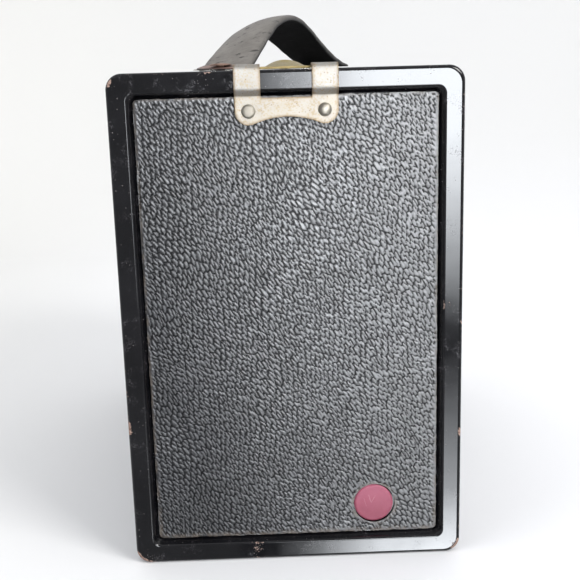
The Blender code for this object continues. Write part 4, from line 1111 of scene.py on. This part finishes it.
def build_window():
    """The ruby window: a disc pressed slightly proud of the leatherette, with a rolled rim."""
    back = REAR_Y + RECESS - GAP
    radius = WINDOW_R + 0.12
    profile = [(radius, back), (radius, back - 0.42)]
    profile += [(radius - 0.25, back - 0.62), (radius - 0.6, back - 0.66)]
    for share in (1.0, 0.8, 0.6, 0.4, 0.2, 0.05):
        profile.append(((radius - 0.9) * share, back - 0.62 - 0.16 * (1 - share**2)))
    fitting("ruby_window", "y", WINDOW, profile, RUBY, "red_celluloid", "door", "red_window", edge=0.05)


# ---- strap

STRAP_REAR = np.array([-14.6, -47.0, 0.0])
STRAP_FRONT = np.array([14.8, 15.0, 0.0])
STRAP_WIDTH = 13.8
STRAP_THICK = 1.7
STRAP_RISE = 12.3
STRAP_LEAN = 0.78
STRAP_TWIST = math.radians(13)
STRAP_FOOT = 8.0
STUDS = ("handle_stud_rear", "handle_stud_front")


def strap_stations():
    """Distance along, height of the underside and roll, from the rear foot's end to the front foot's."""
    reach = np.linalg.norm(STRAP_FRONT - STRAP_REAR)
    distance = np.linspace(-STRAP_FOOT, reach + STRAP_FOOT, 150)
    share = np.clip(distance / reach, 0, 1)
    arch = np.sin(math.pi * share**STRAP_LEAN)
    return distance, HEIGHT + GAP + STRAP_RISE * arch**1.45, STRAP_TWIST * arch**2


def build_strap():
    distance, height, roll = strap_stations()
    reach = np.linalg.norm(STRAP_FRONT - STRAP_REAR)
    along = (STRAP_FRONT - STRAP_REAR) / reach
    across = np.array([-along[1], along[0], 0.0])
    slope = np.arctan2(np.gradient(height), np.gradient(distance))
    section = rounded_rectangle(STRAP_WIDTH / 2, STRAP_THICK / 2, 0.55, (0, 0), 4, 0.8)
    loops, edge, run, under = [], [], [], []
    for index, (far, level, turn, tilt) in enumerate(zip(distance, height, roll, slope)):
        tangent = Vector(along * math.cos(tilt) + np.array([0, 0, math.sin(tilt)]))
        spin = Matrix.Rotation(-turn, 3, tangent)
        side = np.array(spin @ Vector(across))
        up = np.array(spin @ tangent.cross(Vector(across)))
        end_gap = min(far - distance[0], distance[-1] - far)
        taper = math.sqrt(max(0.0, 1 - max(0.0, 1 - end_gap / 4.5) ** 2)) * 0.62 + 0.38
        centre = STRAP_REAR + along * far + np.array([0, 0, level])
        wobble = 1 + 0.004 * math.sin(far * 0.9) + 0.012 * math.sin(far * 0.21 + 1)
        rough_u = section[:, 0] * taper * wobble
        lifted = min(1.0, max(0.0, (level - HEIGHT - GAP) / 6))
        curl = -0.9 * lifted * (section[:, 0] / (STRAP_WIDTH / 2)) ** 2
        crease = 0.12 * soft_noise(np.full(len(section), far), section[:, 0] * 0.4, 3.5, 71) * lifted
        skive = 0.25 + 0.75 * smooth_step((end_gap - 0.5) / 11)
        rough_v = (section[:, 1] + STRAP_THICK / 2) * skive + curl + crease
        loops.append(centre + rough_u[:, None] * side + rough_v[:, None] * up)
        near_edge = smooth_step((np.abs(section[:, 0]) - STRAP_WIDTH / 2 + 0.9) / 0.8)
        edge.append(near_edge)
        run.append(np.full(len(section), (far - distance[0]) / (distance[-1] - distance[0])))
        # how far each point lies on the underside, which the strap's finish paints dark as painted shade
        under.append(smooth_step(0.5 - section[:, 1] / STRAP_THICK * 1.6))
    obj = lofted("carrying_strap", loops)
    for key, values in (("edge", edge), ("along", run), ("under", under)):
        note(obj, key, np.concatenate(values))
    holes = [rod("hole", "z", centre_mm(node, 0, 1), 1.5, HEIGHT - 4, HEIGHT + 8) for node in STUDS]
    combine(obj, "DIFFERENCE", holes)
    finish_piece(obj, STRAP, "strap_leather", "body", "handle_strap")
    head = HEIGHT + GAP + STRAP_THICK * 0.62
    for node in STUDS:
        profile = [(1.2, box_mm(node)[0].z), (1.2, head), (3.0, head), (2.95, head + 0.14)]
        profile += [(2.6, head + 0.36), (1.9, head + 0.52), (1.1, head + 0.6), (0.3, head + 0.62)]
        centre = centre_mm(node, 0, 1)
        fitting(f"{node}_head", "z", centre, profile, WORN_STUD, "nickel", "body", node, edge=0.08)


# ---- turned fittings


def build_lens_bezel():
    face = FRONT_Y - (RECESS - GAP - LEATHER)
    back = box_mm("lens_bezel")[0].y
    lip = ((3.6, GAP), (3.55, 0.5), (3.1, 0.95), (2.4, 1.1), (1.0, 1.1), (0.3, 0.85))
    throat = ((-0.3, -0.6), (-0.3, -1.1), (-0.8, -1.2))
    profile = [(LENS_HOLE_R + out, face + ahead) for out, ahead in lip + throat]
    profile += [(LENS_HOLE_R - 1.2, back), (LENS_HOLE_R, back), (LENS_HOLE_R, face + GAP)]
    shape = {"ring": True, "segments": 96, "edge": 0.1}
    fitting("lens_surround", "y", LENS_CENTRE, profile, NICKEL, "nickel", "body", "lens_bezel", **shape)


def build_key():
    """Escutcheon, washer, and a folded sheet key with two round ears."""
    centre = centre_mm("key_washer", 1, 2)
    bore = 2.3
    side = HALF_X
    plate = ((bore, -3.0), (3.1, -3.0), (3.1, GAP), (7.0, GAP), (6.9, 0.6))
    plate += ((6.3, 1.0), (4.9, 1.1), (4.7, 0.9), (bore, 0.9))
    profile = [(radius, side + out) for radius, out in plate]
    shape = {"ring": True, "segments": 96, "edge": 0.06}
    fitting("key_plate", "x", centre, profile, NICKEL, "nickel", "body", "key_escutcheon", **shape)
    low, high = box_mm("key_washer")
    profile = [(4.6, low.x), (4.6, high.x), (bore, high.x), (bore, low.x)]
    shape = {"ring": True, "segments": 64, "edge": 0.12}
    fitting("key_collar", "x", centre, profile, NICKEL, "nickel", "key_slide", "key_washer", **shape)
    hub = high.x + GAP
    start = box_mm("winding_key")[0].x
    profile = [(2.0, start + 3.6), (2.0, hub), (3.0, hub)]
    profile += [(3.0, hub + 1.4), (2.6, hub + 2.2), (1.6, hub + 2.6)]
    key = turned("film_key", "x", centre, profile, edge=0.1)
    y, z = centre
    tongue = block("tongue", (start, y - 1.8, z - 0.6), (start + 4.2, y + 1.8, z + 0.6))
    ear_x = hub + 3.95
    ears = arc((ear_x, z - 3.8), 3.1, 80, 260, 24) + arc((ear_x, z + 3.8), 3.1, -100, 80, 24)
    outline = hull(ears + [(hub + 0.8, z - 1.6), (hub + 0.8, z + 1.6)])
    wing = prism("wing", "y", outline, y - 0.65, y + 0.65, 0.25)
    combine(key, "UNION", [tongue, wing])
    cutters = [rod("hole", "y", (ear_x + 0.2, z + offset), 1.1, y - 2, y + 2) for offset in (-3.6, 3.6)]
    combine(key, "DIFFERENCE", cutters)
    finish_piece(key, NICKEL, "nickel", "key", "winding_key")


def hull(points):
    """The convex outline round some points."""
    points = sorted(set((round(u, 5), round(v, 5)) for u, v in points))

    def half(ordered):
        chain = []
        for p in ordered:
            while len(chain) > 1:
                (ax, ay), (bx, by) = chain[-2], chain[-1]
                if (bx - ax) * (p[1] - ay) - (by - ay) * (p[0] - ax) > 1e-9:
                    break
                chain.pop()
            chain.append(p)
        return chain[:-1]

    return half(points) + half(points[::-1])


def build_bush(node, axis, centre, face):
    """A flanged tripod socket with its thread inside."""
    bore, pitch = 3.1, 1.27
    mouth = [(7.0, 0.0), (7.0, 0.68), (5.3, 0.7), (5.3, 9.0), (0.4, 9.0)]
    thread = [(0.4, 8.0), (bore, 8.0)]
    for turn in range(5):
        base = 7.6 - turn * pitch
        thread += [(bore, base), (bore - 0.45, base - pitch / 2), (bore, base - pitch)]
    profile = mouth + thread + [(bore + 0.1, 0.5), (bore + 0.6, 0.0)]
    placed = [(radius, face + n) for radius, n in profile]
    bush = turned(f"{node}_socket", axis, centre, placed, True, 72, 0.0)
    smooth(bush, 30)
    finish_piece(bush, NICKEL, "nickel", "body", node)


def build_bushes():
    bottom, side = "tripod_bush_bottom", "tripod_bush_side"
    build_bush(bottom, "z", centre_mm(bottom, 0, 1), box_mm(bottom)[0].z)
    build_bush(side, "x", centre_mm(side, 1, 2), box_mm(side)[0].x)


# ---- pieces kept from the frame

# finish, width of the broken edges, and the nodes that have them
KEPT = (
    (SHELL_BLACK, 0.1, "body_shell"),
    (STEEL, 0.15, "carrier_plate_left", "carrier_plate_right"),
    (STEEL, 0.12, "body_hinge_leaf"),
    (STEEL, 0.08, "window_retainer"),
    (STEEL, 0.06, "supply_tension_spring", "takeup_tension_spring"),
    (BLACKENED, 0.1, "carrier_cone", "shutter_base_plate", "shutter_cover_plate"),
    (BLACKENED, 0.05, "shutter_disc"),
    (WOOD, 0.15, "shutter_board", "top_finder_block", "side_finder_block"),
    (WOOD, 0.12, "supply_spool", "takeup_spool"),
    (NICKEL, 0.15, "shutter_lever"),
    (NICKEL, 0.12, "latch_catch", "upper_roller", "lower_roller", "top_finder_frame", "side_finder_frame"),
    (NICKEL, 0.1, "hinge_pin", "supply_pin_left", "supply_pin_right", "takeup_pin_left", "lens_cell"),
    (NICKEL, 0.1, "disc_pivot_pin", "lever_pivot_pin", "aperture_slide", "time_slide"),
    (NICKEL, 0.08, "lens_retaining_ring"),
    (GLASS, 0.05, "lens", "top_finder_lens", "side_finder_lens"),
    (GROUND, 0.05, "top_finder_screen", "side_finder_screen"),
    (MIRROR, 0.05, "top_finder_mirror", "side_finder_mirror"),
)


def keep_node(name, material, width):
    """Gives one of the frame's own pieces its finish, and breaks its sharp edges."""
    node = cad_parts[name]
    node.data.materials.clear()
    node.data.materials.append(material)
    weld = node.modifiers.new("Weld", "WELD")
    weld.merge_threshold = 0.000001
    bevel(node, width, 30)
    normals = node.modifiers.new("Normals", "WEIGHTED_NORMAL")
    normals.keep_sharp = True


# ---- stage

CAMERA_PLACE = Vector((-5.475, -308.94, 127.0)) * MM
CAMERA_HEADING = math.radians(-1.243)
CAMERA_TILT = math.radians(-12.99)
CAMERA_ROLL = math.radians(-1.595)
CAMERA_LENS = 59.48


def build_camera():
    data = bpy.data.cameras.new("view")
    data.lens = CAMERA_LENS
    data.sensor_width = 36.0
    data.clip_start = 0.01
    camera = linked("view", data)
    turn = Matrix.Rotation(CAMERA_HEADING, 4, "Z") @ Matrix.Rotation(math.pi / 2 + CAMERA_TILT, 4, "X")
    camera.matrix_world = Matrix.Translation(CAMERA_PLACE) @ turn @ Matrix.Rotation(CAMERA_ROLL, 4, "Z")
    bpy.context.scene.camera = camera


def area_light(name, place, target, size, power, colour=(1, 1, 1)):
    data = bpy.data.lights.new(name, "AREA")
    data.size = size
    data.energy = power
    data.color = colour
    light = linked(name, data)
    light.location = place
    light.rotation_euler = (Vector(target) - Vector(place)).to_track_quat("-Z", "Y").to_euler()
    light.visible_camera = False
    return light


WORLD_FILL = 0.66
WORLD_SEEN = 0.97


def build_world():
    """Pale surroundings. Reflections see them dim behind the view and brighter above and ahead."""
    world = bpy.data.worlds.new("studio")
    bpy.context.scene.world = world
    world.use_nodes = True
    w = Nodes(world.node_tree, "Generated")
    ahead = w.ramp(w.axes()["Y"], -0.75, 0.3, 0.38, 0.85)
    ray = w.node("ShaderNodeLightPath").outputs
    lit = w.node("ShaderNodeMix", {0: ray["Is Glossy Ray"], 2: WORLD_FILL, 3: ahead}).outputs[0]
    seen = w.node("ShaderNodeMix", {0: ray["Is Camera Ray"], 2: lit, 3: WORLD_SEEN}).outputs[0]
    background = w.tree.nodes["Background"].inputs
    w.plug(background["Strength"], seen)
    w.plug(background["Color"], (0.95, 0.965, 1.0, 1.0))


def follow_door(name, y, z):
    """A mark on the door that stays level with the base until the door carries it lower."""
    mark = linked(name)
    mark.location = Vector((0, y, z)) * MM
    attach(mark, "door")
    limit = mark.constraints.new("LIMIT_LOCATION")
    limit.use_max_z = True
    limit.max_z = 0.0
    return mark


def build_floor():
    """A seamless pale sweep: floor, curve and back wall, painted darker up the wall and to the left as
    painted shade. It lies below the door when that hangs open.
    """
    half, front, back, height, radius = 1.6, -2.2, 0.62, 1.4, 0.25
    below = 0.00005
    flat = back - radius
    section = [(front, 0.0), (flat, 0.0)]
    for turn in np.linspace(0, math.pi / 2, 16):
        section.append((flat + radius * math.sin(turn), radius - radius * math.cos(turn)))
    section.append((back, height))
    points = [(x, y, z - below) for y, z in section for x in (-half, half)]
    faces = [(2 * i, 2 * i + 1, 2 * i + 3, 2 * i + 2) for i in range(len(section) - 1)]
    mesh = bpy.data.meshes.new("sweep")
    mesh.from_pydata(points, [], faces)
    mesh.shade_smooth()
    floor = linked("sweep", mesh)
    f = Finish("pale_paper")
    split = f.axes()
    # painted shade: the back wall is painted darker than the floor
    wall = f.ramp(split["Y"], 300 * MM, 600 * MM)
    paper = f.mix(wall, (0.86, 0.865, 0.885), (0.70, 0.70, 0.695))
    # painted shadow: the left side is painted darker still
    left = f.ramp(split["X"], 60 * MM, -260 * MM)
    f.set(Base_Color=f.mix(left, paper, (0.755, 0.75, 0.73)), Roughness=0.75)
    mesh.materials.append(f.material)
    floor.visible_glossy = False
    for mark in (follow_door("door_heel", REAR_Y, 0.0), follow_door("door_top", REAR_Y, HEIGHT)):
        follow = floor.constraints.new("COPY_LOCATION")
        follow.target = mark
        follow.use_x = follow.use_y = False
        follow.use_offset = True


CARD_GLOW = 30.0
CARD_LEAN = 0.065
CARD_FADE = (-0.035, 0.125)
# the card's brightness up its height, as (height in metres, brightness)
CARD_STEPS = ((-0.46, 0.85), (-0.36, 0.8), (-0.305, 0.3), (-0.215, 0.11), (-0.155, 0.012))
CARD_STEPS += ((-0.115, 0.03), (-0.07, 0.24), (-0.01, 0.5), (0.065, 0.85), (0.3, 0.9))


def build_reflection_card():
    """A card behind the right of the view that only reflections see, bright at its top and its foot."""
    left, right, y = -0.04, 0.215, -0.75
    low, high = CARD_STEPS[0][0], CARD_STEPS[-1][0]
    mesh = bpy.data.meshes.new("bright_card")
    corners = [(left, y, low), (right, y, low), (right, y, high), (left, y, high)]
    mesh.from_pydata(corners, [], [(0, 1, 2, 3)])
    card = linked("bright_card", mesh)
    f = Finish("card_glow")
    f.tree.nodes.remove(f.shader)
    split = f.axes()
    share = f.node("ShaderNodeMapRange", {"Value": split["Z"], "From Min": low, "From Max": high})
    steps = f.node("ShaderNodeValToRGB", {0: share.outputs[0]})
    stops = steps.color_ramp.elements
    for place, _ in CARD_STEPS[1:-1]:
        stops.new((place - low) / (high - low))
    for stop, (_, value) in zip(stops, CARD_STEPS):
        stop.color = (value, value, value, 1)
    leaned = f.plus(split["X"], f.times(split["Z"], CARD_LEAN))
    across = f.ramp(leaned, *CARD_FADE)
    strength = f.times(f.times(steps.outputs[0], across), CARD_GLOW)
    glow = f.node("ShaderNodeEmission", {"Color": (0.92, 0.955, 1.0, 1.0), "Strength": strength})
    f.plug(f.tree.nodes["Material Output"].inputs["Surface"], glow.outputs[0])
    mesh.materials.append(f.material)
    for ray in ("visible_camera", "visible_diffuse", "visible_transmission", "visible_shadow"):
        setattr(card, ray, False)


def build_lights():
    area_light("window", (0.75, -0.75, 0.75), (0, -0.05, 0.06), 0.5, 10, (1.0, 0.99, 0.97))
    fills = [
        area_light("fill_left", (-0.9, -0.5, 0.5), (0, 0, 0.06), 0.8, 3.2, (0.95, 0.97, 1.0)),
        area_light("top", (0.0, 0.1, 1.2), (0, 0, 0), 1.2, 5.0),
        area_light("front_fill", (-0.7, 1.0, 0.6), (0, 0, 0.06), 0.7, 4),
    ]
    for light in fills:
        light.visible_glossy = False
    build_reflection_card()


def main():
    build_door_tray()
    build_front_tray()
    window_hole = ((WINDOW[0] + 0.2, WINDOW[1] - 0.22), WINDOW_R + 0.42)
    panel_leather("door_leather", REAR_Y, 1, [window_hole], 1, "door", "door_covering", DOOR_STEP)
    lens_hole = (LENS_CENTRE, LENS_HOLE_R + 0.6)
    holes = [lens_hole] + [(centre, radius + 0.7) for centre, radius in finder_holes()]
    panel_leather("front_leather", FRONT_Y, -1, holes, 31, "body", "front_covering", FRONT_STEP)
    build_wrap()
    build_latch()
    build_rivets()
    build_window()
    build_strap()
    build_lens_bezel()
    build_key()
    build_bushes()
    for material, width, *names in KEPT:
        for name in names:
            keep_node(name, material, width)
    build_camera()
    build_world()
    build_floor()
    build_lights()
    bpy.context.scene.view_settings.view_transform = "Standard"


main()
